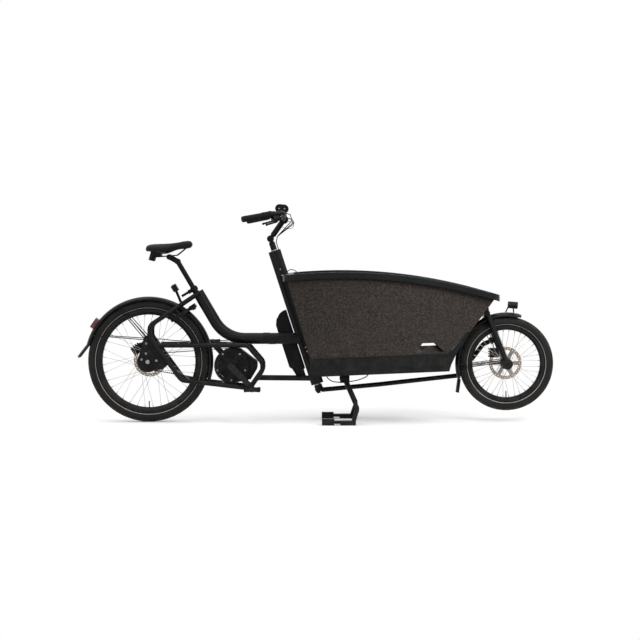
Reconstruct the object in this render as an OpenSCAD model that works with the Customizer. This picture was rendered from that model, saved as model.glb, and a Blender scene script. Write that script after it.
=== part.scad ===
// A two-wheeled electric cargo bicycle, standing on its two-legged stand with the front wheel
// clear of the ground. A foam cargo box rides in a tray ahead of the rider, and a tie rod under
// the tray turns the front wheel. +X is forward, +Y is the rider's left and +Z is up. The origin
// lies on the ground at the middle of the overall length and width.

/* [Wheels] */
// Rear tyre outer radius, a 55-559 tyre
rear_tyre_r = 335.5; // [325:0.5:342]
// Front tyre outer radius, a 55-406 tyre
front_tyre_r = 259; // [250:0.5:266]
// Tyre width
tyre_w = 55; // [50:1:58]
// Height of the tyres above the bead seats of the rims
tyre_h = 56; // [54:0.5:58]
// Distance between the axles
wheelbase = 1968; // [1940:1:2000]
// Height of the front tyre above the ground on the stand
front_lift = 62; // [50:1:75]
// Spokes in each wheel
spokes = 36; // [32:4:36]
// Spoke diameter
spoke_d = 2; // [1.8:0.1:2.3]
// Brake disc diameter
rotor_d = 180; // [160:20:180]

/* [Frame] */
// Main tube diameter
main_d = 62; // [58:1:66]
// Height of the level part of the main tube
main_z = 459.5; // [450:0.5:470]
// Backward lean of the seat tube
seat_lean = 30.4; // [28:0.1:33]
// Stay tube diameter
stay_d = 25; // [23:0.5:26]
// Side distance of the stays from the middle
stay_y = 72; // [72:0.5:74]
// Lower tube diameter
lower_d = 30; // [26:1:34]
// Backward lean of the steering column and of the fork
lean = 17.93; // [16:0.01:20]
// Length of the column profile
column_len = 769; // [740:1:790]
// Fore-and-aft depth of the column profile
column_deep = 69; // [66:1:72]

/* [Drive] */
// Crank length
crank_len = 170; // [165:2.5:175]
// Teeth of the front belt ring
ring_teeth = 55; // [50:1:55]
// Teeth of the rear belt sprocket
sprocket_teeth = 24; // [22:1:28]
// Belt tooth pitch
belt_pitch = 11; // [11:1:11]
// Belt width
belt_w = 12; // [10:1:12]
// Side distance of the belt from the middle
belt_y = 50; // [49:0.5:51]

/* [Box] */
// Overall width across the rim
rim_w = 690; // [660:2:720]
// Rim height
rim_h = 34; // [28:1:38]
// Radius of the arc the rim follows along the side
rim_arc = 2920; // [2600:10:3300]
// Foam wall thickness
foam = 32; // [28:1:38]
// Tray width
tray_w = 576; // [560:2:590]
// Tray side height
tray_h = 97; // [90:1:104]
// Nose-up tilt of the tray on the stand
tray_tilt = 2.4; // [1.8:0.1:2.8]

/* [Steering and seat] */
// Length of the steering arms
arm_len = 100; // [94:1:104]
// Tie rod diameter
rod_d = 26; // [22:1:28]
// Fork leg diameter
leg_d = 30; // [28:1:32]
// Handlebar tube diameter
bar_d = 22.2; // [22:0.1:23]
// Seatpost diameter
post_d = 27.2; // [26.8:0.2:27.2]
// Side distance of the stand feet
foot_y = 180; // [170:1:190]

/* [Hidden] */
$fn = 96;
rear_grow = rear_tyre_r - 335.5;
rear_x = -931 - rear_grow;
rear_z = rear_tyre_r;
rear_bead_r = rear_tyre_r - tyre_h;
front_x = rear_x + wheelbase;
front_z = front_tyre_r + front_lift;
front_bead_r = front_tyre_r - tyre_h;
guard_gap = 19.5;
guard_r = rear_tyre_r + guard_gap;
guard_half = 33;
guard_end = 165;
front_gap = 22;
front_guard_r = front_tyre_r + front_gap;
front_half = 32;
rod_r = 2.5;
flap_len = 82;
flap_dir = [-0.61, 0, -0.7924];
rear_end = rear_x + guard_r * cos(guard_end) + flap_len * flap_dir[0];
x_mid = (front_x + front_tyre_r + rear_end) / 2;
seat_x = -661;
seat_z = 715.5;
bend_x = seat_x + (seat_z - main_z) * tan(seat_lean);
main_bend = 190;
stay_r = stay_d / 2;
col_x = -3;
col_z = 210;
lobe_r = 20;
lobe_u = column_deep / 2 - lobe_r;
fork_long = (front_tyre_r + 43.9) / 302.9;
fork_x = front_x - 113 * fork_long;
fork_z = front_z + 281 * fork_long;
bb_x = -475;
bb_z = 312;
crank_a = -46;
ring_r = ring_teeth * belt_pitch / PI / 2;
sprocket_r = sprocket_teeth * belt_pitch / PI / 2;
belt_t = 2.6;
tray_z = 270;
rim_x = 130;
rim_z = 813.5;
rim_back = -187;
rim_front = 970;
plate_z = 55;
plate_t = 4;
hinge_s = column_len + 69;
column_up = (column_len - 769) * [-sin(lean), 0, cos(lean)];
eye_s = -44;
fork_eye_s = -166;
arm_back = 10;
lock_x = rear_x + 176 + 0.569 * rear_grow;
lock_z = rear_z + 254 + 0.822 * rear_grow;
lock_lean = 33.7;
lock_r = 70;
stand_x = 146;
stand_z = 242;
fit = 0.05;

function unit(v) = v / norm(v);
// A point of the column frame: s up the axis, u forward of it, y to the left
function col(s, u = 0, y = 0) =
    [col_x - s * sin(lean) + u * cos(lean), y, col_z + s * cos(lean) + u * sin(lean)];
// The same for the fork frame
function frk(s, u = 0, y = 0) =
    [fork_x - s * sin(lean) + u * cos(lean), y, fork_z + s * cos(lean) + u * sin(lean)];
function flip(p) = [for (q = p) [q[0], -q[1], q[2]]];

module bike() translate([-x_mid, 0, 0]) children();
module both() { children(); mirror([0, 1, 0]) children(); }
// Wheel frame: local z points to the rider's right
module at_wheel(x, z) translate([x, 0, z]) rotate([90, 0, 0]) children();
module at_column() translate([col_x, 0, col_z]) rotate([0, -lean, 0]) children();
module at_fork() translate([fork_x, 0, fork_z]) rotate([0, -lean, 0]) children();
module at_seat() translate([seat_x, 0, seat_z]) rotate([0, -seat_lean, 0]) children();
module at_tray() translate([0, 0, tray_z]) rotate([0, -tray_tilt, 0]) children();
module at_rear() translate([-rear_grow, 0, rear_grow]) children();
module at_axle() translate([front_x - 1037, 0, front_z - 321]) children();
module at_lock() translate([lock_x, 0, lock_z]) rotate([0, -lock_lean, 0]) children();

// A straight round bar from p to q
module bar(p, q, r) {
    d = q - p;
    translate(p) rotate([0, acos(d[2] / norm(d)), atan2(d[1], d[0])]) cylinder(h = norm(d), r = r);
}
// A plate with a side outline in x and z, from y0 to y1
module side_plate(y0, y1) translate([0, y1, 0]) rotate([90, 0, 0]) linear_extrude(y1 - y0) children();

// A round bar bent at each inner point of a path, with one bend radius; the straight lengths run a little
// way into the bends, a hair thinner than them
lap = 0.8;
ease = 0.05;
function turn_of(a, b, c) = 180 - acos(max(-1, min(1, unit(a - b) * unit(c - b))));
module bent(path, bend, r) {
    n = len(path);
    cut = [for (i = [0:n - 1]) (i == 0 || i == n - 1) ? 0
        : bend * tan(turn_of(path[i - 1], path[i], path[i + 1]) / 2)];
    for (i = [0:n - 2]) {
        d = unit(path[i + 1] - path[i]);
        bar(path[i] + d * (i == 0 ? 0 : cut[i] - lap), path[i + 1] - d * (i == n - 2 ? 0 : cut[i + 1] - lap),
            r - ease);
    }
    for (i = [1:n - 2]) {
        a = unit(path[i - 1] - path[i]);
        b = unit(path[i + 1] - path[i]);
        t = turn_of(path[i - 1], path[i], path[i + 1]);
        c = path[i] + unit(a + b) * bend / cos(t / 2);
        x = unit(path[i] + a * cut[i] - c);
        z = unit(cross(x, path[i] + b * cut[i] - c));
        y = cross(z, x);
        multmatrix([
            [x[0], y[0], z[0], c[0]], [x[1], y[1], z[1], c[1]], [x[2], y[2], z[2], c[2]], [0, 0, 0, 1]
        ]) rotate_extrude(angle = t) translate([bend, 0]) circle(r = r);
    }
}
// A skin over rings of equal point counts, closed at both ends
module skin(rings) {
    m = len(rings[0]);
    n = len(rings);
    polyhedron(
        points = [for (r = rings) for (p = r) p],
        faces = concat(
            [[for (j = [0:m - 1]) j]],
            [[for (j = [m - 1:-1:0]) (n - 1) * m + j]],
            [for (i = [0:n - 2]) for (j = [0:m - 1])
                [i * m + j, (i + 1) * m + j, (i + 1) * m + (j + 1) % m, i * m + (j + 1) % m]]
        )
    );
}

/* Rear frame */
main_path = [[seat_x, 0, seat_z], [bend_x, 0, main_z], [-95, 0, main_z]];
module main_solid() bent(main_path, main_bend, main_d / 2);
module column_solid() at_column() linear_extrude(column_len) column_outline();
module column_outline() {
    for (s = [-1, 1]) translate([s * lobe_u, 0]) circle(r = lobe_r);
    translate([-lobe_u, 1.5 - lobe_r]) square([2 * lobe_u, 2 * lobe_r - 3]);
}
// The level part carries a slanted collar
module main_tube() color("#26272b") difference() {
    union() {
        main_solid();
        translate([-268, 0, main_z]) intersection() {
            rotate([0, 90, 0]) cylinder(h = 120, r = main_d / 2 + 1.6, center = true);
            rotate([0, -25, 0]) cube([34, 90, 130], center = true);
        }
    }
    bent([main_path[0] + 8 * unit(main_path[0] - main_path[1]), main_path[1], [-60, 0, main_z]],
        main_bend, main_d / 2 - 2.5);
    column_solid();
}
column_bolt_s = [45, 188, 212, 628, 662];
module column_tube() color("#26272b") at_column() difference() {
    linear_extrude(column_len) column_outline();
    translate([0, 0, -1]) cylinder(h = column_len + 2, r = 15.9);
    for (z = [-1, column_len - 11]) translate([0, 0, z]) cylinder(h = 12, r = 16.9);
    for (s = column_bolt_s, y = [-1, 1]) translate([0, y * 17.4, s]) rotate([90, 0, 0])
        cylinder(h = 2.4, r = 4, center = true);
    translate([20.5, -9.5, column_len - 20]) cube([7.5, 19, 21]);
}
// Bearing cups at both ends of the column and the bolts down its sides
module column_fittings() color("#8d8e92") at_column() {
    for (e = [0, 1]) translate([0, 0, e * column_len]) mirror([0, 0, e]) difference() {
        union() {
            translate([0, 0, -5]) cylinder(h = 5, r = 18);
            cylinder(h = 11, r = 16.9);
        }
        translate([0, 0, -6]) cylinder(h = 18, r = 14.3 + fit);
    }
    for (s = column_bolt_s, y = [-1, 1]) translate([0, y * 20.3, s]) rotate([90, 0, 0]) difference() {
        translate([0, 0, -y * 0.6]) cylinder(h = 6.6, r = 4, center = true);
        translate([0, 0, -y * 3.4]) cylinder(h = 4, r = 2, center = true, $fn = 6);
    }
}
module seat_sleeve() color("#1b1c1e") at_seat() difference() {
    union() {
        translate([0, 0, -115]) cylinder(h = 115, r = main_d / 2 - 2.9);
        translate([-10, 0, 0]) cylinder(h = 40, r = 17);
    }
    translate([-10, 0, -116]) cylinder(h = 170, r = post_d / 2 + fit);
    translate([-40, -1.5, 4]) cube([24, 3, 60]);
}
// Band clamp round the sleeve, with a yoke for the quick-release cam on its right ear
module seat_clamp() color("#2c2d30") at_seat() {
    difference() {
        union() {
            translate([-10, 0, 14]) cylinder(h = 20, r = 22);
            translate([-44, -12, 14]) cube([20, 24, 20]);
            translate([-44, -29, 13]) cube([14, 18, 22]);
        }
        translate([-10, 0, 10]) cylinder(h = 30, r = 17);
        translate([-50, -1.5, 10]) cube([30, 3, 30]);
        translate([-60, -40, 24 - 7.4]) cube([40, 27.4, 14.8]);
    }
    bar([-37, 1.5, 24], [-37, 19, 24], 7);
    translate([-37, -21, 14]) cylinder(h = 20, r = 2.5);
}
stay_path = [[-650, 30, 713], [-920 - rear_grow, stay_y, 534 + rear_grow],
    [-920 - rear_grow, stay_y, 472 + rear_grow], [-747 - rear_grow, stay_y, 234 + rear_grow],
    [-560, stay_y, 212]];
loop_z = 425;
loop_end = stay_path[2][0] + (stay_path[2][2] - loop_z) * 173 / 238 + 13.8;
loop_path = [[-560, stay_y, 212], [-373, stay_y, 190], [-304, stay_y, 288], [-304, stay_y, 330],
    [-385, stay_y, loop_z], [loop_end, stay_y, loop_z]];
function stay_at(t) = stay_path[0] + t * (stay_path[1] - stay_path[0]);
module stay_solid() bent(stay_path, 45, stay_r);
module loop_solid() bent(loop_path, 42, stay_r);
module seat_stays() color("#26272b") both() difference() { stay_solid(); main_solid(); }
module motor_loops() color("#26272b") {
    both() difference() {
        loop_solid();
        bar(stay_path[2], stay_path[3], stay_r - ease);
    }
    difference() {
        union() {
            bar([-333, -stay_y, 246], [-333, stay_y, 246], 14);
            bar([-528, -stay_y, 208.3], [-528, stay_y, 208.3], 10);
        }
        both() loop_solid();
    }
    difference() {
        union() {
            translate([-500, -stay_y + stay_r, 413]) cube([100, 2 * (stay_y - stay_r), 24]);
            translate([-470, -20, 413]) cube([60, 40, 34]);
        }
        main_solid();
        both() loop_solid();
    }
}
module lower_tube() color("#26272b") difference() {
    bar([-333, 0, 243], [-10, 0, 240], lower_d / 2);
    bar([-333, -60, 246], [-333, 60, 246], 14);
    column_solid();
}
// A point beside the lip of the rear guard, at an angle round the wheel
lip_r = guard_r - 11.2;
function lip(a) = [rear_x + lip_r * cos(a), guard_half + rod_r + 0.2, rear_z + lip_r * sin(a)];
// The dropout plates, with the rods that hold the guard
module dropouts() color("#1a1b1d") both() difference() {
    union() {
        at_rear() side_plate(68, 76) {
            translate([-931, 335.5]) circle(r = 58);
            polygon([[-982, 360], [-948, 478], [-918, 484], [-852, 400], [-812, 330], [-846, 296],
                [-900, 287]]);
        }
        for (p = [[-945.5, 458, 119.4], [-938, 466, 117], [-948, 456, 155.5]])
            bar([p[0] - rear_grow, 72, p[1] + rear_grow], lip(p[2]), rod_r);
    }
    stay_solid();
    loop_solid();
    bar([rear_x, 60, rear_z], [rear_x, 90, rear_z], 6);
    at_rear() {
        for (p = [[-940, 381], [-883, 342], [-964, 348]]) bar([p[0], 60, p[1]], [p[0], 90, p[1]], 3);
        side_plate(72.5, 80) polygon([[-925, 440], [-880, 392], [-866, 352], [-886, 370], [-930, 415]]);
    }
}
module motor_outline() {
    translate([bb_x, bb_z]) circle(r = 76);
    polygon([[-540, 352], [-515, 398], [-470, 413], [-425, 403], [-336, 336], [-333, 322], [-333, 304],
        [-337, 290], [-368, 238], [-420, 224], [-500, 230], [-545, 280]]);
}
module motor() color("#303136") difference() {
    union() {
        side_plate(-41, 40) motor_outline();
        side_plate(40, 52) offset_outline();
        translate([bb_x, 0, bb_z]) rotate([90, 0, 0]) cylinder(h = 116, r = 22, center = true);
    }
    bar([bb_x, -120, bb_z], [bb_x, 120, bb_z], 14 + fit);
    bar([-333, -80, 246], [-333, 80, 246], 14);
    for (i = [0:3]) translate([-352 - 5 * i, -42, 298 - 12 * i]) cube([32, 5, 5]);
    for (a = [0:5]) translate([bb_x, -42, bb_z - 62 + 22 * a]) translate([-58, 0, 0]) cube([116, 4, 8]);
    translate([bb_x, -30, bb_z]) rotate([90, 0, 0]) cylinder(h = 40, r = 26);
}
module offset_outline() {
    translate([bb_x, bb_z]) circle(r = 66);
    translate([-395, 312]) circle(r = 44);
    polygon([[-475, 378], [-395, 356], [-395, 268], [-475, 246]]);
}
module rear_axle() color("#77787c") difference() {
    union() {
        bar([rear_x, -86, rear_z], [rear_x, 86, rear_z], 6);
        bar([rear_x, -67.9, rear_z], [rear_x, -41, rear_z], 14);
        bar([rear_x, 51.3, rear_z], [rear_x, 67.9, rear_z], 14);
        both() bar([rear_x, 76.1, rear_z], [rear_x, 84, rear_z], 11);
    }
    both() bar([rear_x, 81, rear_z], [rear_x, 90, rear_z], 4, $fn = 6);
}

/* Wheels */
module tyre_ring(outer, bead) {
    c = outer - tyre_w / 2;
    rotate_extrude() difference() {
        union() {
            translate([c, 0]) circle(r = tyre_w / 2);
            translate([bead + 0.5, -14.6]) square([14, 29.2]);
        }
        translate([c, 0]) circle(r = tyre_w / 2 - 3.2);
        translate([bead - 8, -11.4]) square([c - bead + 8, 22.8]);
        for (s = [-1, 1]) {
            translate([bead - 8, s * 17.5 - 3]) square([15.4, 6]);
            translate([outer - 1.8, s * 9 - 1.2]) square([4, 2.4]);
        }
    }
}
module rim_ring(bead, deep) rotate_extrude() polygon([
    [bead - deep, -8], [bead - deep, 8], [bead - 8, 17.6], [bead + 6.8, 17.6], [bead + 6.8, 14.8],
    [bead + 0.3, 14.8], [bead - 2, 10], [bead - 5, 8], [bead - 5, -8], [bead - 2, -10], [bead + 0.3, -14.8],
    [bead + 6.8, -14.8], [bead + 6.8, -17.6], [bead - 8, -17.6]
]);
// Laced spokes: each leaves one face of a hub flange at a slant and ends in a nipple at the rim
module laced(rim_r, hole_r, flange, slant) for (i = [0:spokes - 1]) {
    a = (i + 0.5) * 360 / spokes;
    side = i % 2 == 0 ? 1 : -1;
    lead = floor(i / 2) % 2 == 0 ? 1 : -1;
    out = lead > 0 ? 4.8 : -2.6;
    foot = [hole_r * cos(a + lead * slant), hole_r * sin(a + lead * slant), side * (flange + out)];
    tip = [(rim_r - 0.5) * cos(a), (rim_r - 0.5) * sin(a), side * 2.5];
    bar(foot, tip, spoke_d / 2);
    bar(tip - 12 * unit(tip - foot), tip, 2.2);
    translate([foot[0], foot[1], side * (flange + lead * 1.5)])
        mirror([0, 0, side * lead > 0 ? 0 : 1]) cylinder(h = lead > 0 ? 4.6 : 2.4, r = 1.9);
}
module hub_shell(flange, flange_r, barrel_r, left, right, bore) rotate_extrude() polygon([
    [bore, -left], [19, -left], [19, -flange - 6], [barrel_r - 6, -flange - 5],
    [barrel_r - 3, -flange - 1.5], [flange_r, -flange - 1.5], [flange_r, -flange + 1.5],
    [barrel_r, -flange + 1.5], [barrel_r - 2, -flange + 8], [barrel_r - 2, flange - 8],
    [barrel_r, flange - 1.5], [flange_r, flange - 1.5], [flange_r, flange + 1.5],
    [barrel_r - 3, flange + 1.5], [barrel_r - 6, flange + 5], [17, flange + 6], [17, right], [bore, right]
]);
module rotor_disc(bore) linear_extrude(1.8) difference() {
    circle(r = rotor_d / 2);
    circle(r = bore);
    for (i = [0:5]) rotate(60 * i) polygon([
        for (a = [9:6:51]) 72 * [cos(a), sin(a)],
        for (a = [38:-6:14]) 31 * [cos(a), sin(a)]
    ]);
    for (i = [0:35]) rotate(10 * i) translate([i % 2 == 0 ? 79 : 84, 0]) circle(r = 2.6);
}
module rear_tyre() color("#17181a") at_wheel(rear_x, rear_z) tyre_ring(rear_tyre_r, rear_bead_r);
module rear_rim() color("#101113") at_wheel(rear_x, rear_z) {
    rim_ring(rear_bead_r, 24);
    rotate(-90) translate([rear_bead_r - 24 - 34, 0, 0]) rotate([0, 90, 0]) cylinder(h = 34.2, r = 3);
}
module rear_spokes() color("#c4c5c8") at_wheel(rear_x, rear_z) laced(rear_bead_r - 24, 46, 27, 60);
module rear_hub() color("#1b1c1f") at_wheel(rear_x, rear_z) hub_shell(27, 51, 44, 51, 40.7, 6 + fit);
module rear_rotor() color("#a9a49f") at_wheel(rear_x, rear_z) translate([0, 0, -50.5]) rotor_disc(19);
module rear_sprocket() color("#1c1d1f") at_wheel(rear_x, rear_z) translate([0, 0, belt_y - belt_w / 2])
    difference() {
        toothed(sprocket_teeth, sprocket_r - 0.95, belt_w);
        translate([0, 0, -1]) cylinder(h = belt_w + 2, r = 14 + fit);
        for (i = [0:5]) rotate(60 * i) translate([27, 0, -1]) cylinder(h = belt_w + 2, r = 4.5);
    }
module front_tyre() color("#17181a") at_wheel(front_x, front_z) tyre_ring(front_tyre_r, front_bead_r);
module front_rim() color("#101113") at_wheel(front_x, front_z) {
    rim_ring(front_bead_r, 17);
    rotate(-90) translate([front_bead_r - 17 - 34, 0, 0]) rotate([0, 90, 0]) cylinder(h = 34.2, r = 3);
}
module front_spokes() color("#c4c5c8") at_wheel(front_x, front_z) laced(front_bead_r - 17, 26, 24, 52);
module front_hub() color("#1b1c1f") at_wheel(front_x, front_z) hub_shell(24, 31, 22, 44.6, 44.6, 6 + fit);
module front_rotor() color("#a9a49f") at_wheel(front_x, front_z) translate([0, 0, -39.8]) rotor_disc(19);

/* Belt drive */
module toothed(n, tip, h) linear_extrude(h) difference() {
    circle(r = tip);
    for (i = [0:n - 1]) rotate(360 / n * i) translate([tip + 0.6, 0]) circle(r = 2.9, $fn = 24);
}
belt_d = sqrt(pow(bb_x - rear_x, 2) + pow(bb_z - rear_z, 2));
belt_a = atan2(bb_z - rear_z, bb_x - rear_x);
belt_s = asin((ring_r - sprocket_r) / belt_d);
module belt_loop(grow) {
    big = ring_r + grow;
    small = sprocket_r + grow;
    up = [cos(90 + belt_s), sin(90 + belt_s)];
    down = [up[0], -up[1]];
    circle(r = small);
    translate([belt_d, 0]) circle(r = big);
    polygon([(small - ease) * up, [belt_d, 0] + (big - ease) * up, [belt_d, 0] + (big - ease) * down,
        (small - ease) * down]);
}
module belt() color("#141516") at_wheel(rear_x, rear_z) translate([0, 0, belt_y - belt_w / 2])
    rotate(belt_a) {
    run = belt_d * cos(belt_s);
    linear_extrude(belt_w) difference() { belt_loop(belt_t - 0.6); belt_loop(-0.6); }
    for (m = [0, 1]) mirror([0, m, 0]) rotate(belt_s)
        for (i = [5:floor(run / belt_pitch) - 11]) translate([i * belt_pitch, sprocket_r - 3.2, 0.4])
            cube([5, 3.4, belt_w - 0.8]);
}
module belt_ring() color("#1a1b1d") at_wheel(bb_x, bb_z) translate([0, 0, belt_y - belt_w / 2]) difference() {
    union() {
        toothed(ring_teeth, ring_r - 0.95, belt_w - 2);
        cylinder(h = belt_w + 6, r = 26);
    }
    translate([0, 0, -1]) cylinder(h = 40, r = 14);
    for (i = [0:4]) rotate(72 * i + 18) {
        translate([0, 0, -1]) linear_extrude(30) polygon([
            for (a = [-22:4:22]) 76 * [cos(a), sin(a)],
            for (a = [16:-4:-16]) 40 * [cos(a), sin(a)]
        ]);
        rotate(36) translate([82, 0, -1]) cylinder(h = 30, r = 3.2);
    }
    translate([0, 0, belt_w - 6]) difference() {
        cylinder(h = 10, r = 86);
        translate([0, 0, -1]) cylinder(h = 12, r = 34);
    }
}
module crank_arm(y0) translate([0, 0, y0]) linear_extrude(14) {
    circle(r = 18);
    translate([crank_len, 0]) circle(r = 14);
    polygon([[0, 18], [crank_len, 14], [crank_len, -14], [0, -18]]);
}
module cranks() color("#1d1e20") at_wheel(bb_x, bb_z) {
    cylinder(h = 172, r = 14, center = true);
    for (s = [0, 1]) rotate([0, 0, crank_a + 180 * s]) mirror([0, 0, s]) {
        difference() {
            crank_arm(86);
            translate([0, 0, 97]) cylinder(h = 4, r = 7);
        }
        translate([crank_len, 0, 100]) cylinder(h = 98, r = 4.5);
        translate([crank_len, 0, 100]) cylinder(h = 4, r = 8);
    }
}
module pedal() difference() {
    union() {
        for (x = [-44, 26]) translate([x, -9, 105]) cube([18, 18, 92]);
        for (z = [105, 179]) translate([-27, -9, z]) cube([54, 18, 18]);
        translate([0, 0, 105]) cylinder(h = 92, r = 11);
        for (x = [-44, 26], z = [112:14:182]) translate([x + 3, -11, z]) cube([12, 22, 6]);
    }
    translate([0, 0, 90]) cylinder(h = 120, r = 4.5 + fit);
    for (x = [-46, 40]) translate([x, -4.5, 116]) cube([6, 9, 70]);
}
module pedal_right() color("#202124")
    at_wheel(bb_x + crank_len * cos(crank_a), bb_z + crank_len * sin(crank_a)) pedal();
module pedal_left() color("#202124") mirror([0, 1, 0])
    at_wheel(bb_x - crank_len * cos(crank_a), bb_z - crank_len * sin(crank_a)) pedal();

/* Guards, lamps, lock and brakes */
module guard_outline(outer, half, arch) intersection() {
    difference() {
        translate([outer - arch, 0]) circle(r = arch);
        translate([outer - arch, 0]) circle(r = arch - 2.5);
    }
    translate([outer - arch, -half]) square([arch + 1, 2 * half]);
}
module guard_band(outer, half, arch, a0, a1) rotate(a0) rotate_extrude(angle = a1 - a0)
    guard_outline(outer, half, arch);
module guard_fill(outer, arch) rotate_extrude() translate([outer - arch, 0]) circle(r = arch);
// A straight flap that goes on from the end of a guard in direction d
module guard_flap(outer, half, arch, a, d, long) translate([outer * cos(a), outer * sin(a), 0])
    multmatrix([[d[1], 0, d[0], 0], [-d[0], 0, d[1], 0], [0, -1, 0, 0], [0, 0, 0, 1]])
        linear_extrude(long) translate([-outer, 0]) guard_outline(outer, half, arch);
// The half-space past the plane where a flap starts
module past_end(outer, a, d) translate([outer * cos(a), outer * sin(a), 0])
    multmatrix([[d[1], 0, d[0], 0], [-d[0], 0, d[1], 0], [0, -1, 0, 0], [0, 0, 0, 1]])
        translate([-60, -60, -0.05]) cube([80, 120, 90]);
module rear_guard() color("#1a1b1d") at_wheel(rear_x, rear_z) {
    difference() {
        guard_band(guard_r, guard_half, 50, -20, guard_end + 8);
        past_end(guard_r, guard_end, [flap_dir[0], flap_dir[2]]);
    }
    guard_flap(guard_r, guard_half, 50, guard_end, [flap_dir[0], flap_dir[2]], flap_len);
}
module rear_lamp() color("#7d1a1c") at_wheel(rear_x, rear_z) difference() {
    rotate(145) translate([guard_r - 8, -30, -24]) cube([26, 60, 48]);
    guard_fill(guard_r, 50);
}
module reflector() color("#2a2b2d") difference() {
    foot = flip([stay_at(0.3556)])[0];
    union() {
        bar(foot, foot + [-30, -2.1, 72.7], 4);
        translate(foot + [-35, -2.1, 89.7]) rotate([0, -seat_lean, 0]) cube([24, 52, 40], center = true);
    }
    mirror([0, 1, 0]) stay_solid();
}
module lock_body() color("#1c1d1f") difference() {
    union() {
        at_lock() {
            rotate(-139) rotate_extrude(angle = 278) translate([lock_r - 8.5, -9]) square([17, 18]);
            translate([62, -34, -12]) cube([36, 68, 24]);
            translate([80, -52, -10]) rotate([-90, 0, 0]) cylinder(h = 104, r = 9);
        }
        both() bar([lock_x - 2, 64, lock_z + 5.5], stay_at(0.485), 6);
    }
    at_lock() {
        rotate(-141) rotate_extrude(angle = 282) translate([lock_r, 0]) circle(r = 5.2);
    }
    both() stay_solid();
}
module lock_shackle() color("#b9babd") at_lock() rotate(44) rotate_extrude(angle = 92)
    translate([lock_r, 0]) circle(r = 4.5);
module rear_caliper() color("#1b1c1e") difference() {
    at_rear() {
        translate([-1000, 35, 396]) rotate([0, -35, 0]) {
            translate([-30, 0, -22]) cube([62, 29, 46]);
            for (i = [0:3]) translate([-26 + 14 * i, 1, 24]) cube([6, 27, 7]);
        }
        translate([-990, 60, 392]) cube([36, 7.9, 40]);
    }
    at_wheel(rear_x, rear_z) translate([0, 0, -51.3]) cylinder(h = 3.4, r = 94);
    bar([rear_x, 20, rear_z], [rear_x, 69, rear_z], 56);
}

/* Battery */
module battery_outline() polygon([[-41, 100], [-52, 92], [-80, 84], [-121, 130], [-121, 300], [-120, 375],
    [-108, 405], [-82, 430], [-60, 438], [-41, 438]]);
module battery() color("#222326") at_column() difference() {
    union() {
        side_plate(38.3, 120) battery_outline();
        side_plate(120, 124) polygon([[-50, 125], [-78, 105], [-110, 140],
            [-110, 360], [-95, 395], [-50, 410]]);
    }
    side_plate(60, 100) polygon([[-130, 372], [-112, 376], [-106, 396], [-125, 410]]);
}
module battery_mount() color("#1a1b1d") difference() {
    at_column() {
        side_plate(31, 38) polygon([[-112, 130], [-112, 360], [-100, 392], [-84, 414], [-60, 425],
            [-48, 425], [-48, 60], [-95, 60]]);
        side_plate(31, 58) polygon([[-96, 60], [-96, 80], [-80, 83.5], [-56, 83.5], [-48, 60]]);
        bar([-94, 60, 78], [-60, 60, 78], 5);
    }
    main_solid();
}

/* Platform, tray and box */
function tr(x, z) = [x * cos(tray_tilt) - z * sin(tray_tilt),
    tray_z + x * sin(tray_tilt) + z * cos(tray_tilt)];
module platform_front() at_tray() translate([612, -150, 6]) cube([72, 300, 49]);
// Two pressed rails, open below, between a rear and a front cross-member
module platform() color("#222326") difference() {
    union() {
        at_tray() {
            for (y = [-130, 90]) translate([60, y, 6]) cube([560, 40, 49]);
            translate([40, -150, 6]) cube([50, 300, 49]);
            translate([-10, -36, 6]) cube([60, 72, 49]);
        }
        platform_front();
        both() translate([stand_x - 26, 92, stand_z - 20]) cube([52, 12, 64]);
    }
    at_tray() {
        for (y = [-126, 108]) translate([96, y, 0]) cube([508, 18, 51]);
        for (y = [-108, 94]) translate([stand_x + 40, y, 0]) cube([420, 14, 51]);
        for (y = [-150, 20]) translate([46, y + 6, 0]) cube([38, 118, 51]);
        for (y = [-150, 24]) translate([618, y + 6, 0]) cube([60, 114, 51]);
    }
    column_solid();
    bar([stand_x, -140, stand_z], [stand_x, 140, stand_z], 13 + fit);
    at_column() translate([-60, -19, -20]) cube([60, 38, 400]);
}
module front_riser() color("#222326") difference() {
    union() {
        bar([660, 0, 330], frk(70.4, -12.95), 20);
        at_fork() translate([0, 0, 22]) cylinder(h = 68, r = 23);
    }
    at_fork() translate([0, 0, 0]) cylinder(h = 120, r = 14.3 + fit);
    platform_front();
}
module tray_outline() polygon([[-37, 0], [702, 0], [714, 36], [741, 88], [812, 200], [803, 203], [708, 102],
    [700, tray_h], [-44, tray_h]]);
module column_space(u) at_column() translate([-70, -22, -60]) cube([70 + u, 44, 1000]);
module tray() color("#2a2b2e") difference() {
    at_tray() difference() {
        side_plate(-tray_w / 2, tray_w / 2) tray_outline();
        side_plate(-tray_w / 2 + 4, tray_w / 2 - 4) polygon([[-33, plate_z + plate_t], [712, plate_z + plate_t],
            [737, 90], [790, 190], [700, 230], [-40, 230]]);
        side_plate(-tray_w / 2 + 4, tray_w / 2 - 4) polygon([[-33, -1], [698, -1], [709, 36],
            [716, plate_z], [-36, plate_z]]);
        translate([640, -205, tray_h - 2]) cube([300, 410, 200]);
        translate([640, -26, 40]) cube([140, 52, 200]);
    }
    column_space(36);
}
module yz(a, b, z0, z1, z2) rotate([90, 0, 90]) translate([0, 0, -400]) linear_extrude(1800)
    polygon([[-a, z0], [-a, z1], [-b, z2], [b, z2], [a, z1], [a, z0]]);
module under_rim(down) translate([rim_x, 400, rim_z - rim_arc]) rotate([90, 0, 0])
    cylinder(h = 800, r = rim_arc - rim_h / 2 - down, $fn = 360);
foam_half = tray_w / 2 - 5;
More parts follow.
